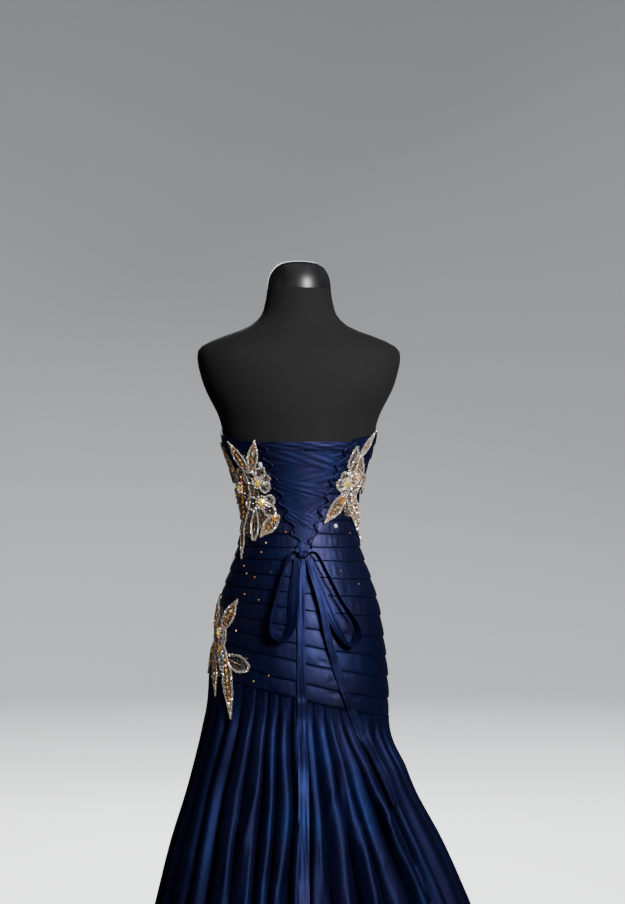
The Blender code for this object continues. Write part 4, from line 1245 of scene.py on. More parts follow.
BODICE_CREASES_FRONT = (
    (-150, 1180, 20, 46, 2.6, 1), (-120, 1120, -12, 40, 2.2, 0.9), (-96, 1040, 8, 44, 2.4, 0.9),
    (-60, 980, -10, 36, 2.6, 1), (-20, 930, 14, 42, 2.8, 1.2), (22, 905, -8, 46, 2.6, 1.2),
    (66, 948, 12, 38, 2.4, 1), (104, 1010, -14, 40, 2.4, 1), (140, 1090, 10, 44, 2.2, 0.9),
    (160, 1170, -18, 42, 2.4, 1), (-110, 880, 10, 52, 2.8, 1.2), (-70, 838, -8, 48, 2.6, 1.3),
    (-14, 862, 6, 54, 3, 1.3), (48, 836, -12, 50, 2.8, 1.4), (98, 868, 14, 46, 2.6, 1.2),
    (150, 850, -8, 42, 2.8, 1.1), (-164, 900, 12, 42, 2.4, 1), (10, 1060, 8, 36, 2, 0.8),
    (-34, 1130, -10, 34, 2, 0.8), (52, 1150, 10, 38, 2, 0.8),
)


@dataclass
class Bodice:
    """The boned bodice, laid in level pleats with crisp lower edges, in a front and two backs."""

    gown: Gown
    lower_pleats: tuple[float, ...] = (0.811, 0.847, 0.879, 0.910, 0.942, 0.971, 1.000, 1.029)
    upper_pleats: int = 8
    wall: float = 2.0 * MM
    inside: float = 1.6 * MM
    puff: float = 0.9 * MM
    wave: float = 1.1 * MM
    side_gap: float = 0.078
    front_columns: int = 150
    back_columns: int = 96
    arc_radius: float = 0.118
    top_rise: float = 1.25 * MM
    first_ledge: Table = ((0.0, 0.6), (0.5, 1.9), (1.6, 2.5))
    ledge: Table = ((-0.9, 0.0), (-0.2, 0.25), (0.25, 2.1), (0.9, 2.5), (2.0, 2.55))

    def edges(self) -> Array:
        """The centre-back heights of all the pleats' lower edges, from the seam to the top."""
        gown = self.gown
        last = self.lower_pleats[-1]
        upper = np.linspace(last, gown.back_top, self.upper_pleats + 2)[1:]
        return np.array([gown.seam_height, *self.lower_pleats, *upper])

    def rows(self) -> Array:
        """Every row: its centre-back height, its rise, its pleat and its share of the way up the pleat."""
        rows = []
        edges = self.edges()
        top = len(edges) - 2
        for pleat, (low, high) in enumerate(zip(edges, edges[1:])):
            ledge = self.ledge if pleat else self.first_ledge
            rows += [(low + up * MM, rise * MM, pleat, 0.0) for up, rise in ledge]
            start = low + 2.0 * MM
            stop = high if pleat == top else high - 0.9 * MM
            for share in np.linspace(0, 1, 8)[1:] if pleat == top else np.linspace(0, 1, 9)[1:-1]:
                rows.append((start + (stop - start) * share, 2.55 * MM * (1 - share) ** 0.8, pleat, share))
        rows = np.array(rows)
        rows[:, 1] = np.where(rows[:, 2] == top, np.maximum(rows[:, 1], self.top_rise), rows[:, 1])
        return rows

    def columns(self, centre: Array, side: Side | None) -> Array:
        """The angles of every row of a piece.

        Args:
            centre: Each row's height at the centre back.
            side: The side of a back piece, or None for the front.

        Returns:
            Angles, rows by columns, rising along a row.
        """
        if side is None:
            across = np.linspace(90 + self.side_gap, 270 - self.side_gap, self.front_columns + 1)
            return np.tile(across, (len(centre), 1))
        angle = np.zeros(len(centre))
        for _ in range(14):
            height = self.gown.pleat_line(angle, centre)
            angle = self.gown.angle_across(side.value * self.gown.edge(height, side), height)
        share = np.linspace(0, 1, self.back_columns + 1)[None, :]
        spread = angle[:, None] + (side.value * (90 - self.side_gap) - angle[:, None]) * share
        return spread if side is Side.LEFT else spread[:, ::-1]

    def piece(self, name: str, side: Side | None, creases: Table, *nodes: str) -> None:
        """Builds one piece of the bodice.

        Args:
            name: Its name.
            side: The side of a back piece, or None for the front.
            creases: The creases pressed into it.
            nodes: The nodes that it stands for.
        """
        gown = self.gown
        point = gown.figure.point
        centre, rise, pleat, share = (column[:, None] for column in self.rows().T)
        pleats = pleat[:, 0].astype(int)
        angles = self.columns(centre[:, 0], side)
        arc = np.radians((angles - 180) if side is None else angles) * self.arc_radius
        ends = self.end_fade(angles)
        sway = np.stack([self.sway(*row) for row in zip(arc, pleats, share[:, 0])])
        inner_edge = (centre > gown.seam_height + 4 * MM) & (centre < gown.back_top - 4 * MM)
        height = gown.pleat_line(angles, centre + sway * inner_edge * ends)
        full = np.stack([self.fullness(*row) for row in zip(arc, pleats)])
        puffed = rise + self.puff * full * np.sin(math.pi * np.clip(share, 0, 1) ** 0.8) * (0.4 + 0.6 * ends)
        outer = point(angles, height, gown.bodice_outside + puffed)
        across = arc_lengths(outer)
        middle = across[:, [-1]] / 2 if side is None else (0 if side is Side.LEFT else across[:, [-1]])
        measured = across - middle
        if side is not None:
            start = np.array([gown.edge(value, side) for value in centre[:, 0]])[:, None]
            measured = measured + (start if side is Side.LEFT else -start)
        flat_normals = point(angles, height, 1.0) - point(angles, height, 0.0)
        outer = creased(outer, flat_normals, measured, creases)
        floor = point(angles, height, gown.bodice_outside - 0.9 * MM)
        depth = np.einsum("ijk,ijk->ij", outer - floor, flat_normals)
        outer = outer + flat_normals * np.maximum(-depth, 0)[..., None]
        inner = point(angles, height, self.inside)
        uv = np.stack([measured, np.broadcast_to(height, measured.shape)], axis=-1)
        made = shell(name, outer, self.wall, uv, BODICE_TAFFETA, inner=inner)
        place(made, "taffeta", *nodes)
        cut_as_cloth(made, outer, ["form_torso"])
        sew(f"{name}_stitches", [outer[-2] + flat_normals[-2] * 0.1 * MM], False)

    def end_fade(self, angles: Array) -> Array:
        """1 over most of a piece, easing to 0 at the edges that meet another piece."""
        return smooth_step(np.minimum(angles - angles[:, [0]], angles[:, [-1]] - angles) / 4.0)

    def sway(self, arc: Array, pleat: int, share: float) -> Array:
        """How far a pleat's lines wander up or down."""
        low = ripple(arc, arc * 0, 0.120, 40 + pleat) * self.wave
        high = ripple(arc, arc * 0, 0.120, 41 + pleat) * self.wave
        return low * (1 - share) + high * share

    def fullness(self, arc: Array, pleat: int) -> Array:
        """How full a pleat is along its length, from about 0 to 1."""
        long_wave = ripple(arc, arc * 0, 0.062, 70 + pleat)
        short_wave = ripple(arc, arc * 0, 0.019, 110 + pleat)
        return np.clip(0.5 + 0.55 * long_wave + 0.28 * short_wave, 0, 1.3)

    def build(self) -> None:
        """Builds the front and the two backs."""
        self.piece("bodice_front_cloth", None, BODICE_CREASES_FRONT, "bodice_front")
        for side in Side:
            node = f"bodice_back_{side.word}"
            self.piece(f"{node}_cloth", side, BODICE_CREASES_BACK, node)


# The gathered skirt


# The valleys between the skirt's folds: the angle at the seam, half way and at the hem, and the depth at the
# seam and the hem, as shares of the fold depth
VALLEYS = (
    (-90, -90, -90, 0.8, 0.8), (-77, -80, -79, 0.6, 0.35), (-64, -71, -68, 0.7, 0.75),
    (-53, -58, -58, 0.6, 1), (-40, -48, -52, 0.7, 0.2), (-22, -38, -46, 1, 1), (-17, -25, -33, 0.5, 0.45),
    (-12, -17, -21, 0.7, 0.9), (-5, -7, -9, 0.7, 0.5), (1, 0, 2, 0.8, 0.75), (9, 7, 9, 1, 0.6),
    (17, 17, 17, 0.8, 0.4), (24, 25, 26, 1, 1), (32, 36, 36, 0.6, 0.5), (42, 47, 49, 1, 1.1),
    (54, 57, 60, 0.7, 0.35), (65, 68, 70, 0.6, 0.9), (77, 79, 81, 0.6, 0.45), (90, 90, 90, 0.8, 0.8),
    (103, 105, 107, 0.7, 0.95), (118, 119, 121, 0.8, 0.5), (132, 134, 137, 0.7, 1),
    (147, 147, 148, 0.9, 0.6), (160, 162, 165, 0.7, 0.95), (174, 175, 178, 0.9, 0.7),
    (186, 188, 190, 0.6, 0.5), (200, 202, 205, 0.9, 1), (215, 217, 218, 0.7, 0.6),
    (230, 231, 234, 0.9, 0.95), (245, 246, 248, 0.8, 0.7), (258, 259, 260, 0.6, 0.9),
)
SKIRT_PANELS = {
    "skirt_back_right": -90,
    "skirt_back_left": 1,
    "skirt_front_left": 90,
    "skirt_front_right": 174,
}

# Here an arc is the distance across toward the wearer's left
SKIRT_CREASES_BACK = (
    (-150, 560, 76, 170, 7, 5), (-108, 470, 80, 200, 8, 6), (-62, 590, 86, 130, 6, 4),
    (-30, 400, 86, 190, 8, 6), (22, 520, 96, 160, 7, 5), (66, 430, 101, 210, 8, 6),
    (104, 570, 104, 150, 7, 5), (150, 400, 108, 200, 9, 6), (186, 300, 108, 150, 9, 6),
    (-190, 330, 72, 170, 9, 6), (96, 640, 62, 60, 5, 2.2), (118, 560, 74, 70, 5, 2.4),
    (74, 520, 100, 80, 5.5, 2.2), (58, 450, 66, 64, 4, 2.6), (44, 392, 40, 46, 3.6, 2.4),
    (72, 372, 118, 52, 4, 2.4), (100, 430, 86, 90, 5, 2.2), (146, 470, 96, 90, 6, 2.4),
    (176, 392, 84, 110, 7, 2.6), (-40, 600, 104, 70, 4.6, 2), (-92, 560, 128, 84, 6, 2.6),
    (-124, 480, 112, 90, 6, 2.6), (-150, 420, 100, 76, 5, 2.2), (-66, 430, 84, 70, 5, 2.2),
    (-190, 400, 108, 96, 7, 2.6), (-20, 500, 88, 90, 4, 1.8), (14, 350, 96, 80, 4.6, 2.2),
    (-30, 240, 84, 110, 6, 2.6), (60, 200, 100, 120, 7, 2.8), (-120, 180, 104, 120, 7, 2.8),
    (160, 180, 80, 120, 7, 2.8),
)
SKIRT_CREASES_FRONT = (
    (-140, 560, 100, 90, 6, 2.4), (-96, 470, 84, 100, 6, 2.6), (-40, 610, 96, 70, 5, 2),
    (-10, 420, 88, 110, 6, 2.6), (36, 540, 78, 80, 5, 2.2), (84, 440, 100, 100, 6, 2.6),
    (128, 360, 84, 100, 6, 2.6), (-160, 320, 104, 110, 7, 2.8), (-60, 260, 96, 110, 7, 2.6),
    (30, 220, 84, 120, 7, 2.8), (110, 190, 98, 110, 7, 2.6),
)


@dataclass
class Skirt:
    """The gathered, flared skirt in four panels, with short gathers under its seam."""

    gown: Gown
    bottom: float = 0.720
    hem: float = 0.015
    middle: float = 0.60
    gather_blend: float = 0.030
    stations: int = 14
    rows: int = 84
    crispness: float = 1.6
    deepening: float = 1.12
    lean: float = 0.7
    cloth: float = 1.0 * MM
    short_gathers: float = 1.5 * MM
    tuck: float = 0.3 * MM
    arc_radius: float = 0.165

    def shares(self) -> Array:
        """The shares of the way from the hem to the seam of all rows, closer together near the seam."""
        even = np.linspace(0, 1, self.rows)
        return even + 0.10 * np.sin(math.pi * even) * even

    def ring_angles(self, share: float) -> tuple[Array, Array, Array]:
        """One closed row: its angles, how far they are sunk, and how far across its fold each lies."""
        at_seam, half_way, at_hem, gather, hang = np.array(VALLEYS).T
        half = (self.middle - self.hem) / (self.gown.seam_height - self.hem)
        if share > half:
            at = half_way + (at_seam - half_way) * ((share - half) / (1 - half))
        else:
            at = at_hem + (half_way - at_hem) * share / half
        depth = hang + (gather - hang) * share
        end = np.append(at[1:], at[0] + 360)
        deep_end = np.append(depth[1:], depth[0])
        across = np.arange(self.stations) / self.stations
        angles = at[:, None] + (end - at)[:, None] * across
        edge = depth[:, None] + (deep_end - depth)[:, None] * across
        turn = np.radians(at)[:, None]
        skewed = across ** (2 ** (self.lean * np.sin(7 * turn + 1.3) + 0.4 * np.sin(3 * turn + 5 * share)))
        crisp = self.crispness * (1 + 0.35 * np.sin(11 * turn + 0.7 + 2 * share))
        sunk = edge * (1 - np.sin(math.pi * skewed)) ** crisp * self.deepening
        return angles.ravel(), sunk.ravel(), np.tile(across, len(VALLEYS))

    def grid(self) -> tuple[Array, Array]:
        """The closed outer grid, and the weave's coordinates."""
        gown = self.gown
        shares = self.shares()
        rings = [self.ring_angles(share) for share in shares]
        angles, sunk, across = (np.stack(part) for part in zip(*rings))
        seam = gown.seam(angles) - gown.seam_gap
        height = self.hem + (seam - self.hem) * shares[:, None]
        drop = seam - height
        meander = self.meander(angles, height) * smooth_step(drop / 0.12)
        angles = angles + meander * np.sin(math.pi * np.clip(across, 0, 1)) ** 0.5
        depth = gown.flare["fold_depth"].at(height) * smooth_step(drop / self.gather_blend / 2)
        depth = depth + gown.gather_rise * (1 - smooth_step(drop / self.gather_blend))
        crest = gown.crest(angles, height)
        figure = gown.figure.point(angles, np.maximum(height, self.bottom), gown.bodice_outside)
        room = np.linalg.norm((crest - figure)[..., :2], axis=-1)
        high = height > self.bottom - self.gather_blend
        depth = np.where(high, np.minimum(depth, room), depth)
        out = outward(lambda turn, level: gown.crest(turn, level)[..., :2], angles, height)
        out = np.concatenate([out, np.zeros((*out.shape[:2], 1))], axis=-1)
        depth = depth * sunk + self.tuck * (1 - smooth_step(drop / (4 * MM)))
        points = crest - out * depth[..., None]
        points = points - out * self.small_folds(angles, height, drop, across)[..., None]
        lengths = arc_lengths(np.concatenate([points, points[:, :1]], axis=1))
        uv = np.stack([lengths[:, :-1], np.broadcast_to(height, points.shape[:2])], axis=-1)
        normals = grid_normals(points, True)
        back = creased(points, normals, points[..., 0], SKIRT_CREASES_BACK)
        front = creased(points, normals, points[..., 0], SKIRT_CREASES_FRONT)
        share_back = smooth_step(points[..., 1] / 0.05 + 0.5)[..., None]
        points = back * share_back + front * (1 - share_back)
        return points, uv

    def meander(self, angles: Array, height: Array) -> Array:
        """How far the folds wander to one side, in degrees."""
        turn = np.radians(angles)
        slow = np.sin(3 * turn + height * 17.0 + 0.6) + 0.6 * np.sin(5 * turn - height * 29.0 + 2.1)
        return 0.8 * slow

    def small_folds(self, angles: Array, height: Array, drop: Array, across: Array) -> Array:
        """How far short gathers and soft secondary folds sink in, in metres."""
        arc = np.radians(angles) * self.arc_radius
        tooth = 0.5 + 0.5 * ripple(arc, height * 0.3, 0.0105, 5)
        fade = np.exp(-drop / (0.020 + 0.016 * (0.5 + 0.5 * ripple(arc, height * 0, 0.05, 6))))
        begin = smooth_step(drop / 0.006)
        gathers = self.short_gathers * np.clip(tooth, 0, 1.2) * fade * begin
        second = 0.5 + 0.5 * np.sin(math.tau * 1.5 * across + 3.0 * height + np.radians(angles) * 4)
        wide = np.clip(1.1 * ripple(arc, height * 0.15, 0.31, 8), 0, 1)
        flare = smooth_step((drop - 0.10) / 0.25)
        amount = self.gown.flare["fold_depth"].at(height) * 0.04 * wide
        return gathers + second * flare * amount

    def build(self) -> None:
        """Builds the four panels and the hem's stitching."""
        points, uv = self.grid()
        normals = grid_normals(points, True)
        sew("hem_stitches", [points[2] + normals[2] * 0.1 * MM], True)
        at_seam = [valley[0] for valley in VALLEYS]
        seams = [at_seam.index(angle) * self.stations for angle in SKIRT_PANELS.values()]
        total = points.shape[1]
        for name, first, last in zip(SKIRT_PANELS, seams, seams[1:] + [total]):
            chosen = np.arange(first, last + 1) % total
            outer = points[:, chosen].copy()
            for end, beside in ((0, 1), (-1, -2)):
                outer[:, end] += unit(outer[:, beside] - outer[:, end]) * self.gown.seam_gap / 2
            inner = outer - normals[:, chosen] * self.cloth
            made = shell(f"{name}_cloth", outer, self.cloth, uv_of(uv, chosen), SKIRT_TAFFETA, inner=inner)
            place(made, "taffeta", name)
            cut_as_cloth(made, outer, [f"bodice_{'back' if 'back' in name else 'front'}"])


def uv_of(uv: Array, chosen: Array) -> Array:
    """The weave coordinates of some columns, unbroken where the chosen columns pass the ring's start."""
    part = uv[:, chosen].copy()
    wrapped = part[:, -1, 0] < part[:, -2, 0]
    part[wrapped, -1, 0] = 2 * part[wrapped, -2, 0] - part[wrapped, -3, 0]
    return part


# The laced back


@dataclass
class LacedBack:
    """The panel in the V, the crossing ribbons over it and the cord loops along both edges."""

    gown: Gown
    levels: int = 7
    lowest: float = 1.066
    pitch: float = 0.027
    width: float = 0.0255
    wall: float = 1.0 * MM
    cloth: float = 0.4 * MM
    lower: float = 3.65 * MM
    upper: float = 5.20 * MM
    top: float = 6.75 * MM
    layers: tuple[float, ...] = (2.95 * MM, 3.75 * MM, 4.55 * MM, 5.40 * MM)
    edge_gap: float = 0.9 * MM
    least_reach: float = 1.2 * MM
    least_cut: float = 10.0 * MM
    panel: tuple[float, float, float, float] = (1.050, 1.236, 1.6 * MM, 1.5 * MM)
    cord_radius: float = 1.4 * MM
    cord_lift: float = 9.45 * MM
    cord_inset: float = 3.0 * MM
    cord_reach: float = 11.0 * MM
    cord_least: float = 6.0 * MM

    def level_edge(self, height: Array, side: Side) -> Array:
        """The angles a little inside an edge of the V."""
        reach = np.maximum(self.gown.edge(height, side) - self.edge_gap, self.least_reach)
        return self.gown.angle_across(side.value * reach, height)

    def wrinkles(self, aside: Array, along: Array, share: Array, seed: int) -> Array:
        """The relief of a ruched ribbon: long folds that gather toward both ends, from about -1 to 1."""
        ends = 0.55 + 0.45 * np.abs(2 * share - 1) ** 1.5
        long_folds = ripple(aside, along * 0.45, 0.0125, seed)
        fine_folds = ripple(aside, along * 0.9, 0.0062, seed + 1)
        return (0.90 * long_folds + 0.25 * fine_folds) * ends

    def band(self, name: str, left: float, right: float, width: float, bottom: float, rise: float) -> None:
        """A ribbon from one edge of the V to the other.

        Args:
            name: The node that it stands for.
            left: The level of its middle line at the left edge.
            right: The level at the right edge.
            width: How wide it is.
            bottom: How far its underside is off the figure.
            rise: How far its folds may stand out.
        """
        gown = self.gown
        share = np.linspace(0, 1, 76)[None, :]
        aside = np.linspace(-0.5, 0.5, 17)[:, None] * width
        pinch = 1 - 0.16 * np.abs(2 * share - 1) ** 4
        first, last = self.level_edge(right + aside, Side.RIGHT), self.level_edge(left + aside, Side.LEFT)
        height = right + aside + ((left + aside) - (right + aside)) * share
        middle = right + (left - right) * share
        height = middle + (height - middle) * pinch
        angle = first + (last - first) * share
        seed = sum(ord(letter) for letter in name)
        flat = gown.figure.point(angle, height, bottom + self.wall)
        along = arc_lengths(flat)
        relief = self.wrinkles(aside * np.ones_like(share), along, share, seed)
        crown = 1 - (2 * aside / width) ** 2
        lift = 0.34 * MM * relief + rise * crown * (0.45 + 0.55 * relief)
        lift = np.clip(lift, -0.45 * MM, rise + 0.30 * MM)
        outer = gown.figure.point(angle, height, bottom + self.wall + lift)
        uv = np.stack([along, np.broadcast_to(aside, along.shape)], axis=-1)
        made = shell(f"{name}_ribbon", outer, self.cloth, uv, RIBBON_TAFFETA)
        place(made, "ribbon", name)
        if width > self.least_cut:
            cut_as_cloth(made, outer, ["bodice_back_left", "bodice_back_right"])

    def panel_cloth(self) -> None:
        """The plain panel behind the lacing."""
        low, high, bottom, wall = self.panel
        height = np.linspace(low, high, 60)[:, None]
        share = np.linspace(0, 1, 60)[None, :]
        first, last = self.level_edge(height, Side.RIGHT), self.level_edge(height, Side.LEFT)
        angle = first + (last - first) * share
        height = np.broadcast_to(height, angle.shape)
        sunk = 0.25 * MM * (1 + ripple(angle * 0.0016, height * 0.2, 0.020, 9))
        outer = self.gown.figure.point(angle, height, bottom + wall - sunk)
        uv = np.stack([arc_lengths(outer), height], axis=-1)
        inner = self.gown.figure.point(angle, height, bottom)
        made = shell("modesty_panel_cloth", outer, wall, uv, BODICE_TAFFETA, inner=inner)
        place(made, "taffeta", "modesty_panel")
        cut_as_cloth(made, outer, ["form_torso"])

    def cords(self) -> None:
        """The rouleau cord along each edge, in one loop at each level."""
        share = np.linspace(0, 1, self.levels * 22)
        height = self.lowest - self.pitch / 2 + self.pitch * self.levels * share
        bulge = np.sin(math.pi * self.levels * share) ** 2
        tree = cord_along()
        for side in Side:
            across = self.gown.edge(height, side) + self.cord_inset - self.cord_reach * bulge
            angle = self.gown.angle_across(side.value * np.maximum(across, self.cord_least), height)
            wobble = 0.25 * MM * ripple(height, height * 0, 0.017, 3 + side.value)
            path = self.gown.figure.point(angle, height, self.cord_lift + wobble)
            values = {"Radius": self.cord_radius, "Material": CORD_TAFFETA.material()}
            made = tree.grow(f"lace_loops_{side.word}_cord", lines_mesh([path], False), values)
            place(made, "ribbon", f"lace_loops_{side.word}")

    def build(self) -> None:
        """Builds the panel, the ribbons and the cords."""
        self.panel_cloth()
        levels = self.lowest + self.pitch * np.arange(self.levels)
        for index, (low, high) in enumerate(zip(levels, levels[1:])):
            number = self.levels - 1 - index
            left, right = ((3, 0.45), (1, 0.05)) if index % 2 else ((0, 0.05), (2, 0.12))
            self.band(f"lacing_left_{number}", high, low, self.width, self.layers[left[0]], left[1] * MM)
            self.band(f"lacing_right_{number}", low, high, self.width, self.layers[right[0]], right[1] * MM)
        self.band("lacing_top", 1.236, 1.236, 0.015, self.top, 0.9 * MM)
        self.band("lacing_end_left", 1.056, 1.047, 0.009, self.lower, 0.1 * MM)
        self.band("lacing_end_right", 1.047, 1.056, 0.009, self.upper, 0.05 * MM)
        self.cords()


# The bow


# Points on each ribbon's middle line: the place across, the height, the distance off the dress and the width
# in millimetres, and how far the face is turned from facing out, in degrees
BOW_RIBBONS = {
    "bow_loop_left": (
        (14.7, 1043, 1.5, 8, 60), (25, 1041, 8, 13, 75), (37, 1008, 9, 17, 85), (51, 958, 8, 18, 88),
        (60, 915, 7, 18, 86), (53, 894, 6, 18, 78), (38, 893, 5, 18, 62), (25, 915, 4, 18, 30),
        (21, 965, 4, 17, 12), (16, 1010, 4, 12, 8), (14, 1034, 5, 8, 0),
    ),
    "bow_loop_right": (
        (-8.6, 1043, 1.5, 8, -60), (-21, 1040, 8, 13, -75), (-39, 1004, 9, 17, -85), (-62, 957, 8, 18, -88),
        (-86, 918, 7, 18, -86), (-91, 893, 6, 18, -80), (-78, 879, 5, 18, -66), (-62, 897, 4, 18, -34),
        (-45, 935, 4, 18, -14), (-25, 990, 4, 13, -8), (-10, 1032, 3.4, 8, 0),
    ),
    "bow_tail_left": (
        (0, 1032.9, 2.2, 8, 0), (4, 1000, 2.0, 11, 6), (7, 950, 2.0, 13, -4), (8, 890, 2.0, 14, 6),
        (8, 820, 2.2, 15, -6), (7, 770, 2.4, 17, 4), (7, 700, 1.9, 18, -8), (8, 620, 1.9, 19, 8),
        (11, 530, 1.9, 19, -6), (14, 430, 1.9, 20, 8), (17, 300, 1.9, 20, 0),
    ),
    "bow_tail_right": (
        (-6, 1033.3, 5.6, 8, 0), (-16, 1000, 13.0, 12, 0), (-30, 950, 14.0, 13, 0), (-38, 905, 10.0, 13, 0),
        (-48, 865, 5.0, 14, 6), (-61, 825, 2.2, 15, -6), (-77, 780, 1.9, 16, 8), (-96, 732, 2.1, 18, -8),
        (-118, 690, 1.8, 19, 8), (-144, 642, 1.8, 20, -6), (-166, 590, 1.8, 20, 0),
    ),
}


@dataclass
class Bow:
    """The ribbon bow: a knot, two loops and two long tails."""

    gown: Gown
    cloth: float = 0.7 * MM
    stations: int = 13
    steps_a_point: int = 12
    flatness: float = 1.6
    knot: tuple[float, float, float] = (3.0 * MM, 1.040, 4.5 * MM)
    knot_size: tuple[float, float, float] = (19.0 * MM, 11.0 * MM, 14.0 * MM)
    fullness: tuple[float, ...] = (0.30, 0.79, 0.93, 0.93, 0.86, 0.93, 0.93, 0.79, 0.30)

    def ribbon(self, name: str, rows: Table) -> None:
        """A flat ribbon along the rows of a table.

        Args:
            name: The node that it stands for.
            rows: The points of its middle line.
        """
        steps = np.linspace(0, len(rows) - 1, (len(rows) - 1) * self.steps_a_point + 1)
        across, height, lift, width, turn = straight_run(rows, steps).T
        middle = self.gown.resting(across * MM, height * MM, lift * MM)
        ahead = unit(np.gradient(middle, axis=0))
        out = unit(middle * np.array([1.0, self.flatness, 0.0]))
        out = unit(out - ahead * (out * ahead).sum(axis=1, keepdims=True))
        flat = np.cross(ahead, out)
        lean = np.radians(turn)[:, None]
        half = width[:, None] * MM / 2
        side = (flat * np.cos(lean) + out * np.sin(lean)) * half
        face = unit(np.cross(side, ahead))
        centre = middle + out * np.abs(np.sin(lean)) * half
        station = np.linspace(-1, 1, self.stations)
        run = arc_lengths(middle[None])[0]
        seed = sum(ord(letter) for letter in name)
        relief = ripple(station[None, :] * half, run[:, None] * 0.12, 0.0090, seed)
        relief = relief + 0.5 * ripple(run[:, None], station[None, :] * half, 0.034, seed + 1)
        quiet = np.minimum(1, run[:, None] / 0.012) * np.minimum(1, (run[-1] - run[:, None]) / 0.012 + 0.4)
        shift = relief * 0.34 * MM * quiet
        grid = centre[:, None] + side[:, None] * station[None, :, None] + face[:, None] * shift[..., None]
        facing = face[:, None] * self.cloth / 2
        rings = np.concatenate([(grid + facing)[:, ::-1], grid - facing], axis=1)
        flats = np.stack(np.broadcast_arrays(station[None, :] * half, run[:, None]), axis=-1)
        uv = np.concatenate([flats[:, ::-1], flats], axis=1)
        made = loft(f"{name}_ribbon", rings, RIBBON_TAFFETA, uv)
        place(made, "ribbon", name)
        cut_as_cloth(made, grid, ["bow_knot"])

    def tie(self) -> None:
        """The knot: a plump pad of folded ribbon with a waist across it."""
        centre = self.gown.resting(*(np.array([value]) for value in self.knot))[0]
        length, depth, tallness = self.knot_size
        full = Curve(np.linspace(-0.5, 0.5, len(self.fullness)), self.fullness)
        rings = []
        for share in np.linspace(-0.5, 0.5, 41):
            turn = np.linspace(0, math.tau, 48, endpoint=False)
            folds = 1 + 0.05 * np.sin(6 * turn + 5 * share) + 0.025 * np.sin(13 * turn - 9 * share)
            size = full.at(share) * folds
            y, z = depth / 2 * np.cos(turn) * size, tallness / 2 * np.sin(turn) * size
            rings.append(centre + np.column_stack([np.full(len(turn), length * share), y, z]))
        rings = np.array(rings)
        turns = np.linspace(0, 0.04, 48, endpoint=False)
        uv = np.stack(np.broadcast_arrays(rings[..., 0], turns[None, :]), axis=-1)
        place(loft("bow_knot_ribbon", rings, RIBBON_TAFFETA, uv), "ribbon", "bow_knot")

    def build(self) -> None:
        """Builds the knot, the loops and the tails."""
        self.tie()
        for name, rows in BOW_RIBBONS.items():
            self.ribbon(name, rows)


# The beaded appliques


class Motif(NamedTuple):
    """A motif of an applique.

    It starts at an arc from the centre back and a height, and heads off at an angle from straight up toward
    the wearer's right. Lengths are in millimetres.
    """

    form: str
    arc: float
    height: float
    heading: float
    length: float
    width: float


APPLIQUES = {
    "applique_back_left": (
        ("leaf", 136, 1172, -40, 92, 22), ("leaf", 104, 1186, -41, 78, 20), ("leaf", 101, 1186, 9, 62, 23),
        ("petal", 87, 1169, 18, 32, 23), ("petal", 87, 1169, 68, 28, 22), ("petal", 87, 1169, 116, 29, 22),
        ("petal", 87, 1169, -60, 38, 26), ("petal", 79, 1135, 84, 28, 23), ("petal", 79, 1135, 134, 38, 24),
        ("petal", 79, 1135, -100, 38, 26), ("leaf", 45, 1112, -138, 56, 26),
        ("petal", 92, 1126, 184, 64, 20), ("leaf", 126, 1198, 180, 118, 46),
        ("leaf", 131, 1100, 176, 70, 15), ("leaf", 136, 1150, -104, 56, 28),
        ("petal", 142, 1176, -75, 40, 28), ("net", 104, 1152, 0, 62, 42), ("net", 108, 1102, 0, 66, 34),
        ("net", 72, 1100, -20, 44, 32), ("net", 108, 1200, -16, 44, 26), ("crystal", 87, 1169, 0, 16, 16),
        ("crystal", 79, 1134, 0, 19, 16), ("crystal", 134, 1160, 0, 14, 14),
        ("marquise", 54, 1106, 22, 20, 9),
    ),
    "applique_back_right": (
        ("leaf", -108, 1212, 43, 72, 16), ("petal", -104, 1236, 192, 56, 26),
        ("petal", -86, 1167, -30, 25, 22), ("petal", -86, 1167, -98, 27, 23),
        ("petal", -86, 1167, -158, 27, 21), ("petal", -86, 1167, 70, 34, 26),
        ("leaf", -85, 1151, -139, 74, 25), ("leaf", -84, 1140, 143, 100, 14),
        ("leaf", -96, 1150, 143, 74, 21), ("leaf", -112, 1222, 184, 88, 44),
        ("leaf", -120, 1186, 128, 62, 26), ("net", -92, 1130, 0, 48, 30), ("net", -104, 1176, 20, 60, 34),
        ("crystal", -85, 1167, 0, 17, 17), ("crystal", -110, 1178, 0, 12, 12),
        ("marquise", -77, 1139, 30, 22, 9),
    ),
    "applique_hip": (
        ("leaf", 191, 900, -4, 66, 17), ("leaf", 172, 898, 36, 76, 27), ("leaf", 187, 930, 170, 84, 38),
        ("leaf", 158, 908, 190, 52, 12), ("petal", 164, 856, 108, 66, 31), ("petal", 168, 862, 170, 34, 16),
        ("leaf", 194, 868, 171, 88, 18), ("leaf", 158, 868, 171, 126, 24), ("leaf", 192, 880, -150, 72, 22),
        ("leaf", 194, 896, -28, 66, 20), ("petal", 172, 884, 180, 44, 38), ("net", 180, 916, 10, 52, 32),
        ("net", 176, 846, 0, 60, 38), ("crystal", 178, 896, 0, 12, 12), ("marquise", 174, 866, 8, 20, 9),
        ("marquise", 150, 845, 20, 14, 7),
    ),
}


# Points on one edge of a motif, as shares of its length and of its half width
MOTIF_EDGES = {
    "petal": ((0, 0.24), (0.33, 0.80), (0.68, 1.0), (0.98, 0.42)),
    "leaf": ((0, 0.30), (0.30, 0.92), (0.58, 0.92), (0.82, 0.44), (1, 0.09)),
}


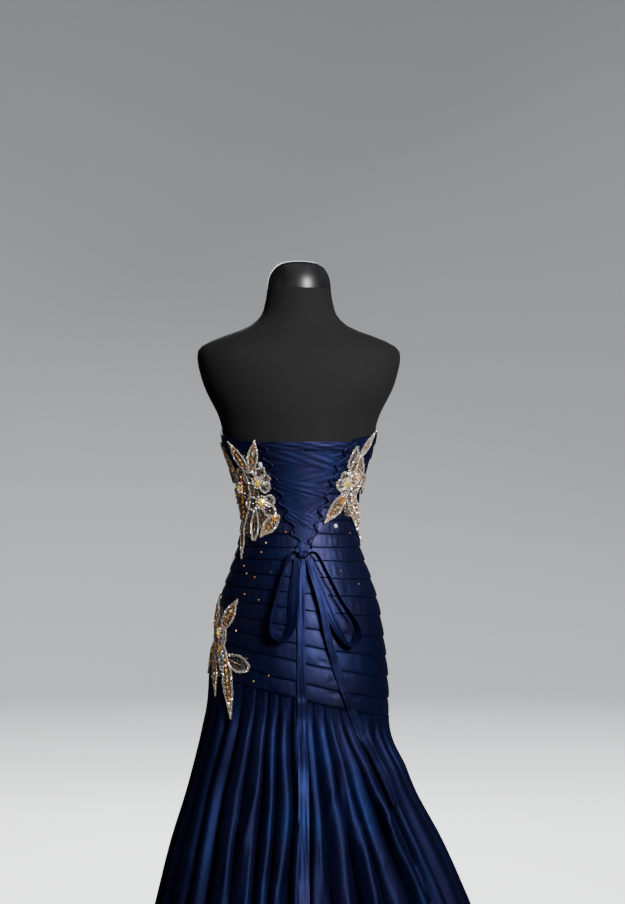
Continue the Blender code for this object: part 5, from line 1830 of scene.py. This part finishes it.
# Stones on the bodice: arc, height, heading, half length, half width and rise in millimetres, and tone
SCATTERED = (
    (81, 1203, 0, 4.6, 4.6, 3, 0.2), (33, 1081, 0, 1.6, 1.6, 1.4, 0.82), (81, 1044, 0, 1.6, 1.6, 1.4, 0.78),
    (71, 1061, 0, 1.5, 1.5, 1.3, 0.6), (-62, 1091, 0, 4.2, 4.2, 2.8, 0.15),
    (-98, 1077, 0, 1.6, 1.6, 1.4, 0.86), (119, 1018, 0, 1.6, 1.6, 1.4, 0.82),
    (113, 1005, 0, 1.4, 1.4, 1.3, 0.58), (93, 999, 0, 1.9, 1.9, 1.6, 0.82),
    (61, 1009, 0, 1.5, 1.5, 1.3, 0.88), (114, 968, 0, 1.6, 1.6, 1.4, 0.8),
    (85, 959, 0, 1.6, 1.6, 1.4, 0.75), (133, 902, 0, 1.7, 1.7, 1.5, 0.82),
    (109, 854, 0, 1.6, 1.6, 1.4, 0.86), (67, 825, 0, 1.5, 1.5, 1.3, 0.78), (95, 814, 0, 1.5, 1.5, 1.3, 0.6),
    (-70, 1010, 0, 1.5, 1.5, 1.3, 0.86), (-112, 985, 0, 1.6, 1.6, 1.4, 0.82),
)


class BeadLook(NamedTuple):
    """How a kind of bead looks: sizes in metres and the range of its tones."""

    radius: float
    spacing: float
    low_tone: float
    high_tone: float
    seed: int

    def values(self, spacing: str) -> dict:
        """What a tree is given, with its own name for the spacing."""
        sizes = {"Size": self.radius, spacing: self.spacing, "Seed": self.seed}
        tones = {"Low tone": self.low_tone, "High tone": self.high_tone}
        return {**sizes, **tones, "Material": BEADS.material()}


BEAD_LOOKS = {
    "edge": BeadLook(1.6 * MM, 2.7 * MM, 0.17, 0.52, 11),
    "inner": BeadLook(1.10 * MM, 2.3 * MM, 0.14, 0.56, 12),
    "vein": BeadLook(0.90 * MM, 2.1 * MM, 0.40, 0.90, 13),
}
SEED_BEADS = BeadLook(0.95 * MM, 2.25 * MM, 0.40, 0.98, 20)


@dataclass
class Appliques:
    """Three beaded lace pieces, each a net plate with rows of beads, seed beads and cut stones."""

    gown: Gown
    lift: float = 0.5 * MM
    plate: float = 1.3 * MM
    grid: float = 7.0
    merge: float = 0.3
    scallop: float = 0.14
    arc_step: float = 2.0
    arc_steps: int = 80
    rows: dict[int, Array] = field(default_factory=dict)

    def laid_out(self, motif: Motif, along: Array, across: Array) -> Array:
        """Points of a motif on the flat.

        Args:
            motif: The motif.
            along: Shares of its length.
            across: Shares of its half width.

        Returns:
            Millimetres right of the centre back, and heights.
        """
        turn = math.radians(motif.heading)
        reach, aside = np.asarray(along) * motif.length, np.asarray(across) * motif.width / 2
        right = -motif.arc + reach * math.sin(turn) + aside * math.cos(turn)
        height = motif.height + reach * math.cos(turn) - aside * math.sin(turn)
        return np.stack(np.broadcast_arrays(right, height), axis=-1)

    def arc_row(self, level: int) -> Array:
        """The arc from the centre back at even steps of angle, at a level in millimetres."""
        if level not in self.rows:
            angles = self.arc_step * np.arange(self.arc_steps + 1)
            points = self.gown.off(angles, np.full(angles.shape, level * MM), np.zeros(angles.shape))
            self.rows[level] = arc_lengths(points[None])[0] / MM
        return self.rows[level]

    def on_dress(self, flats: Array, lift: Array | float) -> Array:
        """Points on the dress from points on the flat, a little way off it."""
        arc, height = -flats[..., 0], flats[..., 1]
        angle = np.empty(arc.shape)
        levels = (np.round(height / 10) * 10).astype(int)
        steps = self.arc_step * np.arange(self.arc_steps + 1)
        for level in np.unique(levels):
            chosen = levels == level
            angle[chosen] = np.interp(np.abs(arc[chosen]), self.arc_row(int(level)), steps)
        return self.gown.off(np.copysign(angle, arc), height * MM, np.broadcast_to(lift, arc.shape))

    def edge_curve(self, motif: Motif, count: int) -> tuple[Array, Array]:
        """One edge of a petal or leaf, as shares of its length and half width."""
        rows = MOTIF_EDGES[motif.form]
        return tuple(straight_run(rows, np.linspace(0, len(rows) - 1, count)).T)

    def outline(self, motif: Motif, inset: float = 0.0, count: int = 12) -> Array:
        """A motif's outline on the flat, drawn in by a distance in millimetres."""
        if motif.form not in MOTIF_EDGES:
            turn = np.linspace(0, math.tau, 12, endpoint=False)
            return self.laid_out(motif, 0.5 * np.cos(turn), np.sin(turn))
        along, half = self.edge_curve(motif, count)
        lobes = motif.length / (9.0 if motif.form == "petal" else 5.5)
        half = half * (1 + self.scallop * np.abs(np.sin(math.pi * lobes * along)) - self.scallop / 2)
        ends = inset / motif.length
        along = ends + along * (1 - 2 * ends)
        half = np.maximum(half - inset / (motif.width / 2), 0.04)
        along = np.concatenate([along, along[::-1]])
        return self.laid_out(motif, along, np.concatenate([half, -half[::-1]]))

    def ground(self, name: str, motifs: Sequence[Motif]) -> Mesh:
        """The net plate over a piece's motifs. Returns the part of its face that is sewn with seed beads."""
        flats, loops = [], []
        for motif in motifs:
            points = self.outline(motif, 0.0, 30)
            loops.append(list(range(len(flats), len(flats) + len(points))))
            flats += [Vector(point) for point in points]
        corner = np.array(flats).min(axis=0)
        size = np.array(flats).max(axis=0) - corner
        for row in range(int(size[1] / self.grid) + 1):
            for column in range(int(size[0] / self.grid) + 1):
                stagger = self.grid / 2 * (row % 2)
                flats.append(Vector((corner[0] + stagger + column * self.grid, corner[1] + row * self.grid)))
        points, _, faces, _, _, owners = delaunay_2d_cdt(flats, [], loops, 1, self.merge)
        used = sorted({index for face in faces for index in face})
        renumbered = {index: place for place, index in enumerate(used)}
        flat = np.array([points[index] for index in used])
        top = self.on_dress(flat, self.lift + self.plate)
        back = self.on_dress(flat, self.lift)
        upper = [tuple(renumbered[index] for index in face) for face in faces]
        every = list(upper) + [tuple(index + len(used) for index in face[::-1]) for face in upper]
        edges = {edge for face in upper for edge in zip(face, face[1:] + face[:1])}
        for start, end in edges:
            if (end, start) not in edges:
                every.append((end, start, start + len(used), end + len(used)))
        both = np.concatenate([top, back])
        place(finished(f"{name}_net", both, every, None, NET, SOLID_CORNER), "beading", name)
        petals = {number for number, motif in enumerate(motifs) if motif.form == "petal"}
        sewn = [face for face, loops_over in zip(upper, owners) if not petals & set(loops_over)]
        return mesh_of(f"{name}_surface", top, sewn)

    def lines_of(self, motif: Motif) -> dict[str, list[Array]]:
        """The bead lines of a petal or leaf on the flat: closed edges, closed inner rows, and open veins."""
        lines = {"edge": [self.outline(motif, 1.4, 34)], "inner": [], "vein": []}
        if motif.width > 15:
            lines["inner"].append(self.outline(motif, 3.7, 26))
        if motif.form == "petal":
            lines["vein"].append(self.laid_out(motif, np.linspace(0.25, 0.72, 10), np.zeros(10)))
            return lines
        lines["vein"].append(self.laid_out(motif, np.linspace(0.06, 0.92, 24), np.zeros(24)))
        along, half = self.edge_curve(motif, 40)
        for start in np.arange(0.14, 0.80, 6.5 / motif.length):
            for sign in (-1, 1):
                reach = float(np.interp(min(start + 0.10, 0.95), along, half)) - 3.4 / (motif.width / 2)
                if reach * motif.width / 2 < 2.2:
                    continue
                share = np.linspace(0.12, 1, 7)
                vein = self.laid_out(motif, start + 0.10 * share**0.8, sign * reach * share)
                lines["vein"].append(vein)
        return lines

    def stones_of(self, motifs: Sequence[Motif]) -> list[tuple[float, ...]]:
        """A piece's cut stones: large ones, rings of small ones round them, and rows down the leaves."""
        stones = []
        for motif in motifs:
            if motif.form == "crystal":
                half = motif.length / 2
                stones.append((motif.arc, motif.height, 0, half, half * 0.92, 5.0, 0.54))
                for turn in np.radians(np.arange(0, 360, 2400 / motif.length / 4.2)):
                    arc = motif.arc + (half + 1.8) * math.sin(turn)
                    height = motif.height + (half + 1.8) * math.cos(turn)
                    stones.append((arc, height, 0, 1.9, 1.9, 2.2, 0.05 if turn else 0.30))
            elif motif.form == "marquise":
                half = motif.length / 2
                stones.append((motif.arc, motif.height, motif.heading, half, motif.width / 2, 3.4, 0.80))
            elif motif.form == "leaf" and motif.width > 16:
                count = int(motif.length / 13)
                for step, share in enumerate(np.linspace(0.16, 0.78, count)):
                    right, height = self.laid_out(motif, share, 0.0)
                    varied = (step * 0.618 + motif.height * 0.37) % 1
                    half, tone = 3.2 + 2.4 * varied, 0.70 + 0.24 * varied
                    stones.append((-right, height, motif.heading, half, 0.5 * half, 2.6, tone))
        return stones

    def settle(self, name: str, stones: Table, lift: float) -> None:
        """Sets stones on the dress."""
        arc, height, heading, half_length, half_width, rise, tone = np.array(stones, float).T
        flats = np.stack([-arc, height], axis=-1)
        at = self.on_dress(flats, lift)
        out = unit(self.on_dress(flats, lift + 5 * MM) - at)
        heading = np.radians(heading)
        ahead = self.on_dress(flats + np.stack([np.sin(heading), np.cos(heading)], axis=-1), lift) - at
        ahead = unit(ahead - out * (ahead * out).sum(axis=1, keepdims=True))
        mesh = mesh_of("stones", at)
        frames = np.stack([ahead, np.cross(out, ahead), out], axis=-1)
        turns = [Matrix(frame.tolist()).to_euler()[:] for frame in frames]
        sizes = np.stack([half_length * MM, half_width * MM, rise * MM / STONE_DEPTH], axis=-1)
        store(mesh, "size", "FLOAT_VECTOR", sizes)
        store(mesh, "turn", "FLOAT_VECTOR", turns)
        store(mesh, "tone", "FLOAT", tone)
        values = {"Sides": 8, "Material": STONES.material()}
        place(self.stone_tree.grow(f"{name}_stones", mesh, values), "beading")

    def strings(self, name: str, lines: Sequence[Array], closed: bool, look: BeadLook) -> None:
        """Strings beads along lines on the flat."""
        if not lines:
            return
        paths = [self.on_dress(line, self.lift + self.plate + look.radius * 0.55) for line in lines]
        place(self.row_tree.grow(name, lines_mesh(paths, closed), look.values("Spacing")), "beading")

    def build(self) -> None:
        """Builds the three pieces and the stones scattered on the bodice."""
        self.row_tree, self.seed_tree, self.stone_tree = bead_rows(), bead_scatter(), stone_settings()
        for number, (name, rows) in enumerate(APPLIQUES.items()):
            motifs = [Motif(*row) for row in rows]
            surface = self.ground(name, motifs)
            lines = {"edge": [], "inner": [], "vein": []}
            for motif in motifs:
                if motif.form in MOTIF_EDGES:
                    for kind, found in self.lines_of(motif).items():
                        lines[kind] += found
            for kind, look in BEAD_LOOKS.items():
                self.strings(f"{name}_{kind}_beads", lines[kind], kind != "vein", look)
            values = SEED_BEADS._replace(seed=SEED_BEADS.seed + number).values("Distance")
            place(self.seed_tree.grow(f"{name}_seed_beads", surface, values), "beading")
            self.settle(name, self.stones_of(motifs), self.lift + self.plate)
        self.settle("scattered", SCATTERED, 0.0)


# The studio


@dataclass
class Studio:
    """The floor and all-round sweep, the lights, the world and the camera."""

    turn: float = 6.0
    distance: float = 3.6
    height: float = 1.225
    shift: float = 0.025
    lens: float = 77.49
    sweep: Table = ((0.0, 0.0), (6.2, 0.0))
    cove: float = 2.4

    def backdrop(self) -> None:
        """A round floor that curves up into a wall all round."""
        profile = list(self.sweep)
        radius = self.sweep[-1][0]
        for step in np.linspace(0, math.pi / 2, 14)[1:]:
            profile.append((radius + self.cove * math.sin(step), self.cove * (1 - math.cos(step))))
        profile.append((radius + self.cove, 7.0))
        turn = np.linspace(0, math.tau, 96, endpoint=False)
        points = [(out * math.cos(t), out * math.sin(t), height) for out, height in profile for t in turn]
        mesh = mesh_of("studio_sweep", points, faces_of_grid(len(profile), len(turn), 0, True, True))
        mesh.shade_smooth()
        mesh.materials.append(StudioPaint().material())
        made = add_object("studio_sweep", mesh)
        made.visible_glossy = False
        made.visible_diffuse = False
        made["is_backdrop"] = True
        self.lit_alone = bpy.data.collections.new("sweep lit alone")
        self.lit_alone.objects.link(made)

    def lamp(self, name: str, angle: float, away: float, height: float, power: float, size: Colour) -> Piece:
        """A soft area lamp aimed at the dress.

        Args:
            name: Its name.
            angle: Degrees round the dress from the centre back toward the wearer's left.
            away: Its distance from the dress's axis.
            height: Its height.
            power: Its power in watts.
            size: Its width, its height, and the height it is aimed at.

        Returns:
            The lamp.
        """
        data = bpy.data.lights.new(name, "AREA")
        data.shape = "RECTANGLE"
        data.size, data.size_y = size[0], size[1]
        data.energy = power
        lamp = bpy.data.objects.new(name, data)
        turn = math.radians(angle)
        lamp.location = at = Vector((away * math.sin(turn), away * math.cos(turn), height))
        lamp.rotation_euler = (Vector((0, 0, size[2])) - at).to_track_quat("-Z", "Y").to_euler()
        bpy.context.scene.collection.objects.link(lamp)
        return lamp

    def camera(self) -> None:
        """The camera behind the dress."""
        turn = math.radians(self.turn)
        toward = Vector((math.sin(turn), math.cos(turn), 0))
        left = Vector((math.cos(turn), -math.sin(turn), 0))
        data = bpy.data.cameras.new("camera")
        data.sensor_fit = "VERTICAL"
        data.sensor_height = 36.0
        data.lens = self.lens
        eye = bpy.data.objects.new("camera", data)
        eye.location = toward * self.distance - left * self.shift + Vector((0, 0, self.height))
        eye.rotation_euler = (-toward).to_track_quat("-Z", "Y").to_euler()
        bpy.context.scene.collection.objects.link(eye)
        bpy.context.scene.camera = eye

    def build(self) -> None:
        """Sets the stage."""
        self.backdrop()
        key = self.lamp("key", -24, 2.4, 2.1, 17, (0.7, 0.9, 1.25))
        key.data.spread = math.radians(75)
        self.lamp("low_fill", -4, 3.6, 0.6, 4, (1.4, 0.6, 0.5))
        self.lamp("front_key", 180, 3.2, 2.1, 70, (1.2, 1.4, 0.9))
        self.lamp("ceiling", 0, 0.4, 3.6, 8, (2.6, 2.6, 0.0))
        for angle in (45, 135, 225, 315):
            lamp = self.lamp(f"sweep_{angle}", angle, 3.6, 4.4, 420, (2.6, 2.6, 0.0))
            lamp.light_linking.receiver_collection = self.lit_alone
        world = bpy.data.worlds.new("world")
        world.use_nodes = True
        sky = world.node_tree.nodes["Background"].inputs
        sky["Color"].default_value = (0.62, 0.62, 0.66, 1.0)
        sky["Strength"].default_value = 0.07
        bpy.context.scene.world = world
        self.camera()


def plain(value: object) -> object:
    if isinstance(value, dict):
        return {key: plain(item) for key, item in value.items()}
    if hasattr(value, "__len__") and not isinstance(value, str):
        return [plain(item) for item in value]
    return value


def main() -> None:
    """Builds the looks of the dress and its form."""
    logging.basicConfig(level=logging.INFO, format="%(message)s")
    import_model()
    sizes = {"cad": plain(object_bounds())}
    gown = Gown()
    for part in (DressForm(gown), Bodice(gown), Skirt(gown), LacedBack(gown), Bow(gown), Appliques(gown)):
        part.build()
        LOG.info("built %s", type(part).__name__)
    Studio().build()
    sizes["visual"] = plain(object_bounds())


if __name__ == "__main__":
    main()
